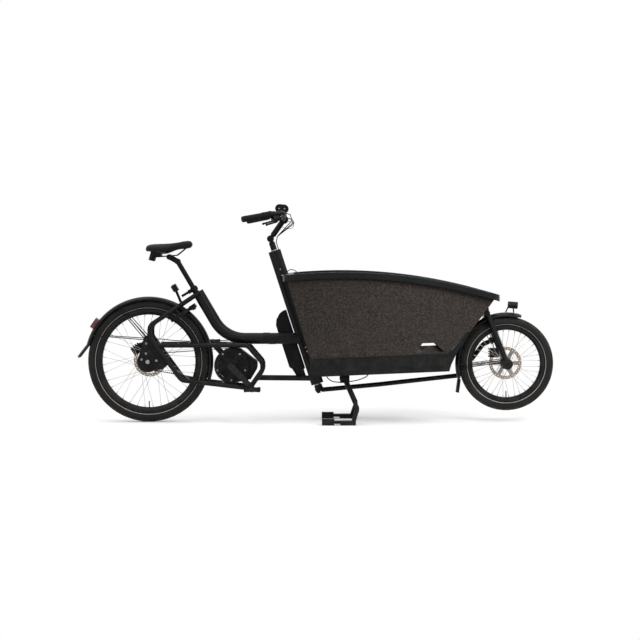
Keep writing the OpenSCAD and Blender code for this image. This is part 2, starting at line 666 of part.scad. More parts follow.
module cargo_box() color("#37332f") difference() {
    intersection() {
        side_plate(-400, 400) polygon([tr(-32, 59.4), tr(-32, 98), [-46, 380], [-173, 815], [1032, 815],
            [735, 405], tr(698, 98), tr(690, 59.4)]);
        yz(foam_half, foam_half + 43, 300, 402, 800);
        under_rim(0);
    }
    intersection() {
        side_plate(-400, 400) polygon([tr(10, 87), [-4, 385], [-131, 830], [933, 830],
            [625, 405], tr(600, 87)]);
        yz(foam_half - foam, foam_half + 43 - foam, 300, 402, 800);
    }
    side_plate(-205, 205) polygon([[663, 405], [960, 815], [1100, 815], [1100, 300], [587, 300]]);
    side_plate(-400, 400) polygon([[521, 398], [671, 404], [621, 452], [558, 450]]);
    at_tray() side_plate(-400, 400) polygon([[690, 59.5], [699.5, tray_h + 0.5], [707.6, 102.4], [802.6, 203.4],
        [900, 230], [760, 30]]);
    column_space(37);
}
module rounded(x0, x1, half, r) {
    translate([x0 + r, -half]) square([x1 - x0 - 2 * r, 2 * half]);
    translate([x0, -half + r]) square([x1 - x0, 2 * half - 2 * r]);
    for (x = [x0 + r, x1 - r], y = [-half + r, half - r]) translate([x, y]) circle(r = r);
}
module box_rim() color("#1d1e20") difference() {
    intersection() {
        translate([0, 0, 600]) linear_extrude(300) difference() {
            rounded(rim_back, rim_front, rim_w / 2, 75);
            rounded(rim_back + 52, 862, rim_w / 2 - 36, 45);
        }
        difference() { under_rim(-rim_h); under_rim(0); }
    }
    intersection() {
        translate([0, 0, 600]) linear_extrude(300) difference() {
            rounded(rim_back + 7, rim_front - 7, rim_w / 2 - 7, 68);
            rounded(rim_back + 45, 855, rim_w / 2 - 29, 52);
            translate([rim_back, -34]) square([60, 68]);
        }
        difference() { under_rim(-rim_h + 7); under_rim(2); }
    }
    column_space(37);
}
module floor_board() color("#3b3a38") at_tray() translate([14, -foam_half + foam + 2, 87.1])
    cube([560, 2 * (foam_half - foam - 2), 8]);

/* Stand */
leg_path = [[stand_x, 137, stand_z], [214, 170, 88], [192, foot_y, 20]];
module stand_bar() both() translate([32, foot_y - 14, 8]) cube([166, 28, 16]);
module stand_leg() both() bent(leg_path, 36, 12);
module stand() color("#2b2c2f") difference() {
    union() {
        bar([stand_x, -137, stand_z], [stand_x, 137, stand_z], 13);
        stand_leg();
        stand_bar();
        both() bar([stand_x, 128, stand_z], [stand_x, 150, stand_z], 17);
    }
    translate([100, -300, -20]) cube([200, 600, 28]);
}
module stand_feet() color("#18191a") difference() {
    both() {
        translate([21, foot_y - 20, 0]) cube([67, 40, 33]);
        translate([121, foot_y - 20, 0]) cube([84, 40, 24]);
    }
    stand_bar();
    stand_leg();
}

/* Fork and front fittings */
crown = [fork_x, 0, fork_z];
tip = [front_x, 60, front_z];
module leg_solid() both() bar([fork_x, 60, fork_z], tip, leg_d / 2);
module fork() color("#232427") difference() {
    union() {
        at_fork() translate([0, 0, -4]) cylinder(h = 98, r = 14.3);
        at_fork() translate([0, 0, 8]) cylinder(h = 13.5, r = 22);
        bar([fork_x, -60, fork_z], [fork_x, 60, fork_z], 17);
        both() bar([fork_x, 60, fork_z], [fork_x, 76, fork_z], 15.5);
        leg_solid();
        both() bar([front_x, 46, front_z], [front_x, 74, front_z], 29);
        bar([front_x, -78, front_z], [front_x, 78, front_z], 6);
        at_fork() translate([0, 0, fork_eye_s + 9.3]) linear_extrude(10) {
            translate([-arm_back, arm_len]) circle(r = 14);
            polygon([[-arm_back - 12, arm_len - 6], [-2, 56], [24, 58], [-arm_back + 12, arm_len + 6]]);
        }
        at_fork() translate([-arm_back, arm_len, fork_eye_s - 16]) cylinder(h = 30, r = 6);
        at_fork() translate([-arm_back, arm_len, fork_eye_s - 17]) cylinder(h = 7.7, r = 10, $fn = 24);
    }
    both() bar([front_x, 75, front_z], [front_x, 90, front_z], 3.2);
    both() bar([front_x, 71, front_z], [front_x, 90, front_z], 5, $fn = 24);
}
module front_guard() color("#1a1b1d") {
    at_wheel(front_x, front_z) {
        guard_band(front_guard_r, front_half, 45, 73, 197);
        guard_flap(front_guard_r, front_half, 45, 197, [-0.13, -0.9915], 76);
    }
    difference() {
        bar(crown, [front_x, 0, front_z], 9);
        bar([fork_x, -60, fork_z], [fork_x, 60, fork_z], 17);
        bar([front_x, -60, front_z], [front_x, 60, front_z], front_guard_r - 1);
    }
    both() difference() {
        union() for (z = [0, 13]) bar([front_x - 21, 49, front_z + 9 + z],
            [front_x + 12 - front_guard_r, front_half + rod_r + 0.2, front_z - 25 + z], rod_r);
        bar([front_x, 46, front_z], [front_x, 74, front_z], 29);
    }
    both() difference() {
        at_axle() bar([1010, 46, 327], [1024, 50, 346], 4);
        bar([front_x, 46, front_z], [front_x, 74, front_z], 29);
        leg_solid();
    }
}
module headlight() color("#1f2022") difference() {
    at_axle() translate([0, 0, front_guard_r - 281]) {
        bar([1046, 0, 645], [1098, 0, 641], 19);
        bar([1031, 0, 600], [1050, 0, 640], 3.5);
        bar([1078, 0, 596], [1074, 0, 632], 3.5);
    }
    at_wheel(front_x, front_z) guard_fill(front_guard_r, 45);
    at_axle() translate([0, 0, front_guard_r - 281]) bar([1092, 0, 641.5], [1110, 0, 640], 15.5);
}
module front_caliper() color("#1b1c1e") difference() {
    at_axle() {
        translate([950, 28, 352]) cube([50, 27, 52]);
        for (i = [0:3]) translate([942, 29, 356 + 13 * i]) cube([9, 24, 6]);
        translate([985, 44, 356]) cube([20, 20, 40]);
    }
    at_wheel(front_x, front_z) translate([0, 0, -40.6]) cylinder(h = 3.4, r = 94);
    leg_solid();
}

/* Steering column, bars and seat */
module arm_plate() linear_extrude(10) {
    circle(r = 24);
    translate([-arm_back, arm_len]) circle(r = 14);
    polygon([[-22, 6], [-arm_back - 13, arm_len - 4], [-arm_back + 13, arm_len - 4], [22, 6]]);
}
module column_shaft() color("#2a2b2e") at_column() {
    translate([0, 0, -34.7]) cylinder(h = 812, r = 14.3);
    translate([0, 0, eye_s + 9.3]) arm_plate();
    translate([0, 0, eye_s + 9.3]) cylinder(h = 28.4, r = 22);
    translate([-arm_back, arm_len, eye_s - 16]) cylinder(h = 30, r = 6);
    translate([-arm_back, arm_len, eye_s - 17]) cylinder(h = 7.7, r = 10, $fn = 24);
    difference() {
        union() {
            translate([0, 0, column_len + 6]) cylinder(h = hinge_s - column_len - 10, r = 16.5);
            translate([0, 0, hinge_s]) rotate([90, 0, 0]) cylinder(h = 36, r = 19, center = true);
        }
        translate([-40, -11.4, hinge_s - 20.5]) cube([80, 22.8, 60]);
    }
    translate([0, 0, hinge_s]) rotate([90, 0, 0]) cylinder(h = 40, r = 5, center = true);
}
cable_y = [-6, 0, 6];
module column_cables() color("#121314") at_column()
    for (y = cable_y) translate([24.2, y, column_len - 19.8]) cylinder(h = 59.2, r = 2.4);
rod_path = [col(eye_s, -arm_back, arm_len), [340, 100, 197], [760, 186, 236.5], [794, 184, 240],
    frk(fork_eye_s - 6, -arm_back - 48, arm_len + 16), frk(fork_eye_s, -arm_back, arm_len)];
module tie_rod() color("#1d1e20") difference() {
    union() {
        bent(rod_path, 34, rod_d / 2);
        at_column() translate([-arm_back, arm_len, eye_s - 9]) cylinder(h = 18, r = 15);
        at_fork() translate([-arm_back, arm_len, fork_eye_s - 9]) cylinder(h = 18, r = 15);
    }
    at_column() translate([-arm_back, arm_len, eye_s - 40]) cylinder(h = 80, r = 6 + fit);
    at_fork() translate([-arm_back, arm_len, fork_eye_s - 40]) cylinder(h = 80, r = 6 + fit);
    at_column() for (z = [-49, 9]) translate([-arm_back, arm_len, eye_s + z])
        cylinder(h = 40, r = z > 0 ? 22 : 17);
    at_fork() for (z = [-49, 9]) translate([-arm_back, arm_len, fork_eye_s + z]) cylinder(h = 40, r = 17);
    at_column() translate([-arm_back - 60, arm_len - 60, eye_s + 9]) cube([75, 120, 40]);
}
bar_c = [-187, 0, 1113] + column_up;
bar_end = [-396, -320, 1110] + column_up;
bar_turn = [-185, -195, 1150] + column_up;
grip_z = unit(bar_end - bar_turn);
grip_x = unit(cross([0, 0, 1], grip_z));
grip_y = cross(grip_z, grip_x);
module at_grip() multmatrix([
    [grip_x[0], grip_y[0], grip_z[0], bar_end[0]], [grip_x[1], grip_y[1], grip_z[1], bar_end[1]],
    [grip_x[2], grip_y[2], grip_z[2], bar_end[2]], [0, 0, 0, 1]
]) children();
lever_a = 62;
module at_lever() at_grip() rotate([0, 0, -lever_a]) children();
// A point p of the lever frame, and the direction in which its hose leaves
function lever_at(p) = bar_end + p[0] * (cos(lever_a) * grip_x - sin(lever_a) * grip_y)
    + p[1] * (sin(lever_a) * grip_x + cos(lever_a) * grip_y) + p[2] * grip_z;
bar_path = [bar_end, bar_turn, bar_c + [0, -65, 0], bar_c + [0, 65, 0], flip([bar_turn])[0],
    flip([bar_end])[0]];
module handlebar() color("#1d1e20") {
    bent(bar_path, 52, bar_d / 2);
    difference() {
        bar(bar_c + [0, -34, 0], bar_c + [0, 34, 0], 15.9);
        bar(bar_c + [0, -80, 0], bar_c + [0, 80, 0], bar_d / 2 - 1);
    }
}
stem_a = bar_c - col(hinge_s);
stem_d = unit(stem_a);
module perch() {
    at_grip() difference() {
        translate([0, 0, -192]) cylinder(h = 18, r = 15.5);
        translate([0, 0, -200]) cylinder(h = 40, r = bar_d / 2);
    }
    at_lever() difference() {
        union() {
            translate([13, -8, -206]) cube([20, 16, 34]);
            translate([24, -9, -212]) rotate([0, 0, 0]) cylinder(h = 44, r = 9);
        }
        translate([32, 0, -180]) rotate([90, 0, 0]) cylinder(h = 60, r = 10.4, center = true);
        translate([26, -5.4, -182]) cube([40, 10.8, 60]);
    }
    at_lever() {
        translate([32, 0, -180]) rotate([90, 0, 0]) cylinder(h = 18, r = 3, center = true);
        difference() {
            for (y = [-9, 5.4]) translate([18, y, -192]) cube([18, 3.6, 18]);
            translate([0, 0, -200]) cylinder(h = 40, r = 15.4);
        }
    }
}
module lever() at_lever() difference() {
    union() {
        translate([32, 0, -180]) rotate([90, 0, 0]) cylinder(h = 10, r = 8, center = true);
        translate([32, -5, -180]) cube([10, 10, 14]);
        bar([40, 0, -172], [46, 0, -104], 5);
        translate([46, 0, -104]) sphere(r = 6.5);
    }
    translate([32, 0, -180]) rotate([90, 0, 0]) cylinder(h = 30, r = 3 + fit, center = true);
}
module lever_right() color("#2a2b2e") lever();
module lever_left() color("#2a2b2e") mirror([0, 1, 0]) lever();
display_w = 58;
display_r = 24;
display_u = 13;
module bar_fittings() color("#232427") {
    h = col(hinge_s);
    difference() {
        union() {
            bar(h + [0, -11, 0], h + [0, 11, 0], 18.5);
            bar(h + 22 * stem_d, bar_c, 15.5);
            translate(h) rotate([0, -atan2(stem_d[2], stem_d[0]), 0]) translate([0, -10.4, -11])
                cube([40, 20.8, 22]);
            bar(bar_c + [0, -23, 0], bar_c + [0, 23, 0], 24);
        }
        bar(h + [0, -60, 0], h + [0, 60, 0], 5 + fit);
        bar(bar_c + [0, -60, 0], bar_c + [0, 60, 0], 15.9);
    }
    both() perch();
    at_grip() difference() {
        translate([0, 0, -172]) cylinder(h = 14, r = 19.5);
        translate([0, 0, -200]) cylinder(h = 60, r = bar_d / 2);
    }
    translate(column_up) {
        side_plate(-display_w / 2, display_w / 2) translate([-198, 1172]) rotate(-5) {
            for (x = [-1, 1]) translate([x * display_u, 0]) circle(r = display_r);
            square([2 * display_u, 2 * display_r - 2 * ease], center = true);
        }
        bar([-191, 0, 1134], [-197, 0, 1168], 9);
    }
}
module grip(long) difference() {
    union() {
        translate([0, 0, -long]) cylinder(h = long + 4, r = 16);
        for (i = [0:floor(long / 12) - 1]) translate([0, 0, -long + 4 + 12 * i]) cylinder(h = 6, r = 16.8);
    }
    translate([0, 0, -long - 1]) cylinder(h = long + 1, r = bar_d / 2);
}
module bar_grips() color("#161718") {
    at_grip() grip(112);
    mirror([0, 1, 0]) at_grip() grip(140);
}
module twist_grip() color("#1a1b1c") at_grip() difference() {
    union() {
        translate([0, 0, -157.5]) cylinder(h = 45, r = 17);
        for (i = [0:17]) rotate(20 * i) translate([17, 0, -150]) cylinder(h = 34, r = 1.4, $fn = 24);
    }
    translate([0, 0, -160]) cylinder(h = 60, r = bar_d / 2 + fit);
}
module bar_cables() color("#121314") {
    lo = [for (y = cable_y) col(column_len + 41, 24.2, y)];
    mid = [for (y = cable_y) col(column_len + 70, 40, y)];
    hose = [lever_at([24, -9, -212.4]), lever_at([24, -9, -232])];
    wire = [bar_end + 18.8 * grip_x - 172.4 * grip_z, bar_end + 22 * grip_x - 232 * grip_z,
        bar_c + [37, -165, 25]];
    bent([hose[0], hose[1], bar_c + [37, -120, 3], bar_c + [53, -24, -15], mid[0], lo[0]], 18, 2.4);
    bent(concat(wire, [bar_c + [45, -10, -5], mid[1], lo[1]]), 18, 2.4);
    bent(concat(flip(hose), [bar_c + [41, 116, 6], bar_c + [57, 20, -21], mid[2], lo[2]]), 18, 2.4);
}
post_top = [seat_x - 10 * cos(seat_lean) - 200 * sin(seat_lean), 0,
    seat_z - 10 * sin(seat_lean) + 200 * cos(seat_lean)];
post_head = [-816, 0, 908];
module seatpost() color("#26272a") {
    at_seat() translate([-10, 0, -90]) cylinder(h = 290, r = post_d / 2);
    difference() {
        union() {
            bar(post_top, post_head, 15);
            bar(post_top + [0, -20, 0], post_top + [0, 20, 0], 16);
            bar(post_head + [0, -30, 0], post_head + [0, 30, 0], 15);
            both() {
                bent([[-905, 30, 909], [-874, 22, 909], [-772, 22, 917], [-712, 10, 966]], 26, 3.5);
                bar([-913, 30, 888], [-899, 30, 938], 16);
                translate([-896, 16, 912]) cube([38, 28, 22]);
            }
        }
        saddle();
    }
}
saddle_x = [-946, -940, -925, -900, -870, -840, -810, -780, -755, -730, -708, -695, -689];
saddle_top = [952, 965, 974, 978.5, 980, 981, 983, 987, 991, 994.5, 995.5, 990, 979];
saddle_low = [947, 940, 937.5, 934, 928, 924, 932, 944, 950, 952, 956, 962, 972];
saddle_half = [10, 46, 74, 88, 90, 82, 64, 45, 36, 31, 27, 20, 6];
function saddle_ring(i) = [for (j = [0:27]) let (a = 360 * j / 28, c = cos(a), s = sin(a),
    mid = saddle_low[i] + 0.45 * (saddle_top[i] - saddle_low[i]))
    [saddle_x[i], saddle_half[i] * sign(c) * pow(abs(c), 0.75),
     s > 0 ? mid + (saddle_top[i] - mid) * pow(s, 0.8) : mid - (mid - saddle_low[i]) * pow(-s, 0.6)]];
module saddle() color("#151617") skin([for (i = [0:len(saddle_x) - 1]) saddle_ring(i)]);
module seat_lever() color("#2c2d30") at_seat() translate([-37, -21, 17]) linear_extrude(14) difference() {
    union() {
        circle(r = 7.5);
        translate([-44, -3]) circle(r = 5);
        polygon([[0, 6], [-44, 1.5], [-44, -7.5], [0, -6]]);
    }
    circle(r = 2.5 + fit);
}

bike() main_tube();
bike() column_tube();
bike() column_fittings();
bike() seat_sleeve();
bike() seat_clamp();
bike() seat_stays();
bike() motor_loops();
bike() lower_tube();
bike() dropouts();
bike() motor();
bike() rear_axle();
bike() belt();
bike() rear_guard();
bike() rear_lamp();
bike() reflector();
bike() lock_body();
bike() rear_caliper();
bike() battery_mount();
bike() platform();
bike() front_riser();
bike() tray();
bike() cargo_box();
bike() box_rim();
bike() floor_board();
bike() rear_tyre();
bike() rear_rim();
bike() rear_spokes();
bike() rear_hub();
bike() rear_rotor();
bike() rear_sprocket();
bike() front_tyre();
bike() front_rim();
bike() front_spokes();
bike() front_hub();
bike() front_rotor();
bike() fork();
bike() front_guard();
bike() headlight();
bike() front_caliper();
bike() column_shaft();
bike() column_cables();
bike() tie_rod();
bike() handlebar();
bike() bar_fittings();
bike() bar_grips();
bike() bar_cables();
bike() lever_right();
bike() lever_left();
bike() twist_grip();
bike() cranks();
bike() belt_ring();
bike() pedal_right();
bike() pedal_left();
bike() stand();
bike() stand_feet();
bike() seatpost();
bike() saddle();
bike() seat_lever();
bike() lock_shackle();
bike() battery();
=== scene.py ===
import bpy
import numpy as np
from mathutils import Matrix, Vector


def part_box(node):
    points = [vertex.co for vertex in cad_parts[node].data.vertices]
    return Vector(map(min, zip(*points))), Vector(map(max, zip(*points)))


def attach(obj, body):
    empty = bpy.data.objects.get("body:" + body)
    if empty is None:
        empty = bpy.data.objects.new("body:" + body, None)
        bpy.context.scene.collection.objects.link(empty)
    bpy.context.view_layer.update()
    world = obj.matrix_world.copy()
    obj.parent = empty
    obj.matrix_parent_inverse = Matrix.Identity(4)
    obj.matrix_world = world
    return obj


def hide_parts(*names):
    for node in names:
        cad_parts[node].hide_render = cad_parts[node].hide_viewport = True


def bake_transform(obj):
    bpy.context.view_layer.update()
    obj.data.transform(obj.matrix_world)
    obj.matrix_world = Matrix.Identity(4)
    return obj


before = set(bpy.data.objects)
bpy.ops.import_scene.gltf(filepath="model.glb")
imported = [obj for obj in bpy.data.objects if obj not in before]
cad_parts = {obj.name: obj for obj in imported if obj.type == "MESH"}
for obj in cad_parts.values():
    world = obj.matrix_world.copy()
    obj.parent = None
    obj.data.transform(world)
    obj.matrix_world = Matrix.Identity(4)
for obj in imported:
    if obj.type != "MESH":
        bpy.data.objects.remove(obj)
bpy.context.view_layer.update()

# Frame tubes: welded aluminium, bent and blasted, then powder coated in a satin black that shows a faint
# orange peel. The main tube, stays, motor loops and column share it with the platform, fork and tie rod.
dust_tone = "#5a544c"


def tone(code):
    """The linear colour of an sRGB code: each channel is taken through the inverse of the sRGB curve."""
    channel = np.array([int(code[i:i + 2], 16) for i in (1, 3, 5)]) / 255
    linear = np.where(channel <= 0.04045, channel / 12.92, ((channel + 0.055) / 1.055) ** 2.4)
    return (*linear.tolist(), 1.0)


def node_group(name, inputs, outputs):
    """An empty shader group with named sockets; returns the group, its input node and its output node."""
    group = bpy.data.node_groups.new(name, "ShaderNodeTree")
    for socket, kind, value in inputs:
        made = group.interface.new_socket(socket, in_out="INPUT", socket_type="NodeSocket" + kind)
        if value is not None:
            made.default_value = value
    for socket, kind in outputs:
        group.interface.new_socket(socket, in_out="OUTPUT", socket_type="NodeSocket" + kind)
    return group, group.nodes.new("NodeGroupInput"), group.nodes.new("NodeGroupOutput")


def maths(tree, operation, first, second=0.5, third=0.0, clamp=False):
    """One Math node; an argument is a number or a socket. Returns its value socket."""
    node = tree.nodes.new("ShaderNodeMath")
    node.operation = operation
    node.use_clamp = clamp
    for socket, value in zip(node.inputs, (first, second, third)):
        if isinstance(value, (int, float)):
            socket.default_value = value
        else:
            tree.links.new(value, socket)
    return node.outputs[0]


def ramp(tree, value, low, high, start=0.0, end=1.0):
    """A smooth step of value from start at low to end at high."""
    node = tree.nodes.new("ShaderNodeMapRange")
    node.interpolation_type = "SMOOTHSTEP"
    for socket, number in zip(node.inputs[1:5], (low, high, start, end)):
        socket.default_value = number
    tree.links.new(value, node.inputs[0])
    return node.outputs[0]


def mix(tree, factor, first, second):
    """Mixes two colours, codes or sockets, by a factor socket."""
    node = tree.nodes.new("ShaderNodeMix")
    node.data_type = "RGBA"
    tree.links.new(factor, node.inputs[0])
    for socket, colour in ((node.inputs[6], first), (node.inputs[7], second)):
        if isinstance(colour, str):
            socket.default_value = tone(colour)
        else:
            tree.links.new(colour, socket)
    return node.outputs[2]


def noise(tree, vector, scale, detail=3.0, rough=0.55):
    """A noise pattern of scale features a metre; returns its 0 to 1 value."""
    node = tree.nodes.new("ShaderNodeTexNoise")
    node.inputs["Detail"].default_value = detail
    node.inputs["Roughness"].default_value = rough
    tree.links.new(vector, node.inputs["Vector"])
    if isinstance(scale, (int, float)):
        node.inputs["Scale"].default_value = scale
    else:
        tree.links.new(scale, node.inputs["Scale"])
    return node.outputs[0]


def make_grain():
    """Group: fine grain of a chosen size for bump, and a slow drift for tone and gloss."""
    group, given, out = node_group(
        "grain", [("Vector", "Vector", None), ("Size", "Float", 0.002)],
        [("Height", "Float"), ("Drift", "Float")])
    scale = maths(group, "DIVIDE", 1.0, given.outputs["Size"])
    group.links.new(noise(group, given.outputs["Vector"], scale), out.inputs["Height"])
    group.links.new(ramp(group, noise(group, given.outputs["Vector"], 9.0), 0.3, 0.7), out.inputs["Drift"])
    return group


def make_dust():
    """Group: road dust, a patchy mask that is densest at the ground and thins to nothing at Reach."""
    group, given, out = node_group(
        "road_dust", [("Vector", "Vector", None), ("Reach", "Float", 0.7)], [("Mask", "Float")])
    split = group.nodes.new("ShaderNodeSeparateXYZ")
    group.links.new(given.outputs["Vector"], split.inputs[0])
    height = maths(group, "DIVIDE", split.outputs["Z"], given.outputs["Reach"])
    low = maths(group, "SUBTRACT", 1.0, height, clamp=True)
    patch = ramp(group, noise(group, given.outputs["Vector"], 24.0, 6.0, 0.65), 0.38, 0.75)
    group.links.new(maths(group, "MULTIPLY", low, patch), out.inputs["Mask"])
    return group


def make_edge():
    """Group: rounded edges; the mask is how far the rounded normal turns from the true one, with noise."""
    group, given, out = node_group(
        "worn_edge", [("Vector", "Vector", None), ("Radius", "Float", 0.001)],
        [("Mask", "Float"), ("Normal", "Vector")])
    bevel = group.nodes.new("ShaderNodeBevel")
    bevel.samples = 4
    group.links.new(given.outputs["Radius"], bevel.inputs["Radius"])
    true = group.nodes.new("ShaderNodeNewGeometry")
    dot = group.nodes.new("ShaderNodeVectorMath")
    dot.operation = "DOT_PRODUCT"
    group.links.new(bevel.outputs[0], dot.inputs[0])
    group.links.new(true.outputs["Normal"], dot.inputs[1])
    turn = maths(group, "SUBTRACT", 1.0, dot.outputs["Value"])
    rub = ramp(group, noise(group, given.outputs["Vector"], 60.0), 0.35, 0.7)
    group.links.new(maths(group, "MULTIPLY", ramp(group, turn, 0.04, 0.28), rub), out.inputs["Mask"])
    group.links.new(bevel.outputs[0], out.inputs["Normal"])
    return group


grain_group, dust_group, edge_group = make_grain(), make_dust(), make_edge()


def place(tree, group, vector, **values):
    """Places a group in a material and sets its named values."""
    node = tree.nodes.new("ShaderNodeGroup")
    node.node_tree = group
    tree.links.new(vector, node.inputs["Vector"])
    for name, value in values.items():
        node.inputs[name].default_value = value
    return node.outputs


def bare(name, rough, metal=0.0, gloss=0.5):
    """A new node material; returns it, its tree, its Principled shader and its Object coordinates."""
    made = bpy.data.materials.new(name)
    made.use_nodes = True
    tree = made.node_tree
    shader = tree.nodes["Principled BSDF"]
    shader.inputs["Roughness"].default_value = rough
    shader.inputs["Metallic"].default_value = metal
    shader.inputs["Specular IOR Level"].default_value = gloss
    return made, tree, shader, tree.nodes.new("ShaderNodeTexCoord").outputs["Object"]


def bump(tree, height, depth, normal=None):
    """A Bump node of a height in metres; returns its normal."""
    node = tree.nodes.new("ShaderNodeBump")
    node.inputs["Distance"].default_value = depth
    tree.links.new(height, node.inputs["Height"])
    if normal is not None:
        tree.links.new(normal, node.inputs["Normal"])
    return node.outputs[0]


def finish(name, colour, drifted, rubbed_and_lit_edge, rough, size, depth, metal=0.0, gloss=0.15, edge=0.0012, dust=0.25):
    """A hard finish: the colour drifts to a second tone, fine grain makes the bump, edges are rounded and
    turned to a third tone, wear on most finishes and painted light on the red lens, gloss varies with the
    drift and dust lies on the low parts."""
    made, tree, shader, place_in = bare(name, rough, metal, gloss)
    grain = place(tree, grain_group, place_in, Size=size)
    worn = place(tree, edge_group, place_in, Radius=edge)
    dirt = place(tree, dust_group, place_in)
    colour = mix(tree, grain["Drift"], colour, drifted)
    # Edge tone: wear on the edges, and on the red lens also painted light there.
    colour = mix(tree, maths(tree, "MULTIPLY", worn["Mask"], 0.6), colour, rubbed_and_lit_edge)
    colour = mix(tree, maths(tree, "MULTIPLY", dirt["Mask"], dust), colour, dust_tone)
    tree.links.new(colour, shader.inputs["Base Color"])
    glossy = maths(tree, "MULTIPLY_ADD", grain["Drift"], 0.08, rough - 0.04)
    tree.links.new(maths(tree, "MULTIPLY_ADD", dirt["Mask"], dust, glossy), shader.inputs["Roughness"])
    tree.links.new(bump(tree, grain["Height"], depth, worn["Normal"]), shader.inputs["Normal"])
    return made


def dress(made, *nodes):
    """Gives CAD nodes a material."""
    for node in nodes:
        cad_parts[node].data.materials.clear()
        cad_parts[node].data.materials.append(made)


coat = finish("satin_coat", "#0d0e0f", "#121315", "#2c2d2f", 0.36, 0.0022, 0.00005, gloss=0.13)
dress(coat, "main_tube", "column_tube", "seat_stays", "motor_loops", "lower_tube", "platform", "front_riser",
      "fork", "tie_rod")

# Dropouts, steering shaft, stand, clamps, bars, hubs and belt wheels: forged or turned alloy, bead blasted
# and black anodised, a little greyer and finer than the coat. They are bolted, clamped or welded in place.
anodised = finish("black_anodised", "#0d0e0f", "#121315", "#46474a", 0.34, 0.0009, 0.00002, gloss=0.1)
dress(anodised, "dropouts", "column_shaft", "seat_clamp", "seat_sleeve", "seat_lever", "stand", "handlebar",
      "bar_fittings", "lever_right", "lever_left", "rear_hub", "front_hub", "rear_sprocket", "belt_ring",
      "seatpost")

# Cranks: forged alloy arms, polished before a thin black anodising, so they are lighter and shine more than
# the pieces above. They are fixed on the motor's spindle.
forged = finish("forged_crank", "#141518", "#1a1b1e", "#5a5b5f", 0.26, 0.0012, 0.00002, gloss=0.2)
dress(forged, "cranks")

# Column fittings, rear axle and lock shackle: steel, turned or drawn bright and plated, with a fine grain.
# The fittings are screwed to the column, and the axle passes through the rear hub.
plated = finish("plated_steel", "#9a9894", "#807e7a", "#c4c2be", 0.3, 0.0012, 0.00002, metal=1.0, dust=0.15)
dress(plated, "column_fittings", "rear_axle", "lock_shackle")

# Housings of the motor, battery, lock, calipers, headlight and reflector: die-cast or moulded shells with a
# fine leather-like texture, bolted to the frame and the fork.
shell = finish("housing_shell", "#0f1012", "#151618", "#333438", 0.44, 0.0012, 0.00008, gloss=0.09)
dress(shell, "motor", "battery", "battery_mount", "lock_body", "rear_caliper", "front_caliper", "headlight",
      "reflector")

# Mudguards: vacuum-formed black polycarbonate, fairly glossy, held over the tyres by wire stays that run down
# towards the axles.
guard = finish("guard_plastic", "#0f1011", "#151617", "#2e2f32", 0.3, 0.003, 0.00002, gloss=0.12)
dress(guard, "rear_guard", "front_guard")

# Drive belt, pedals, stand feet and grips: moulded rubber and rubbery plastic, matt, with fine pores. The
# grips and feet are pushed on, and the belt runs round the ring and the sprocket.
rubber = finish("moulded_rubber", "#131314", "#19191a", "#262627", 0.72, 0.0008, 0.00006, gloss=0.12,
                dust=0.4)
dress(rubber, "belt", "pedal_right", "pedal_left", "stand_feet", "bar_grips", "twist_grip")

# Rear lamp: a red polycarbonate lens over a dark inside, screwed to the back of the rear guard. Its ends are
# painted brighter than its middle: painted light through the lens at the ends, painted shade over the middle.
guard_run = (-0.574, 0.0, -0.819)


def tail_lens_painted_light():
    """Red plastic, with painted shade over the lamp's inside and painted light at both ends: the place along
    the guard is the dot product of the position from the lamp's middle with the guard's run."""
    made, tree, shader, place_in = bare("tail_lens_painted_light", 0.14, 0.0, 0.5)
    low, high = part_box("rear_lamp")
    shift = tree.nodes.new("ShaderNodeMapping")
    shift.inputs["Location"].default_value = -(low + high) / 2
    tree.links.new(place_in, shift.inputs["Vector"])
    run = tree.nodes.new("ShaderNodeVectorMath")
    run.operation = "DOT_PRODUCT"
    tree.links.new(shift.outputs[0], run.inputs[0])
    run.inputs[1].default_value = guard_run
    end = ramp(tree, maths(tree, "ABSOLUTE", run.outputs["Value"]), 0.012, 0.022)
    grain = place(tree, grain_group, place_in, Size=0.004)
    # Painted light and shade: dark red in the middle is the inside's shade, brighter red at both ends is
    # light through the lens.
    deep = mix(tree, end, "#331010", "#641815")
    pale = mix(tree, end, "#421413", "#7a221b")
    colour = mix(tree, grain["Drift"], deep, pale)
    worn = place(tree, edge_group, place_in, Radius=0.005)
    tree.links.new(colour, shader.inputs["Base Color"])
    tree.links.new(ramp(tree, grain["Drift"], 0.0, 1.0, 0.1, 0.2), shader.inputs["Roughness"])
    tree.links.new(bump(tree, grain["Height"], 0.0001, worn["Normal"]), shader.inputs["Normal"])
    return made


dress(tail_lens_painted_light(), "rear_lamp")

# Rims and spokes: extruded black-anodised rims, and drawn stainless spokes laced between the rim and the hub
# flanges.
rim_black = finish("rim_anodised", "#0d0e10", "#131416", "#303133", 0.33, 0.0015, 0.00001)
dress(rim_black, "rear_rim", "front_rim")
wire = finish("spoke_steel", "#b4b0ab", "#98948f", "#d0cdc8", 0.28, 0.0015, 0.00001, metal=1.0, edge=0.0003)
dress(wire, "rear_spokes", "front_spokes")

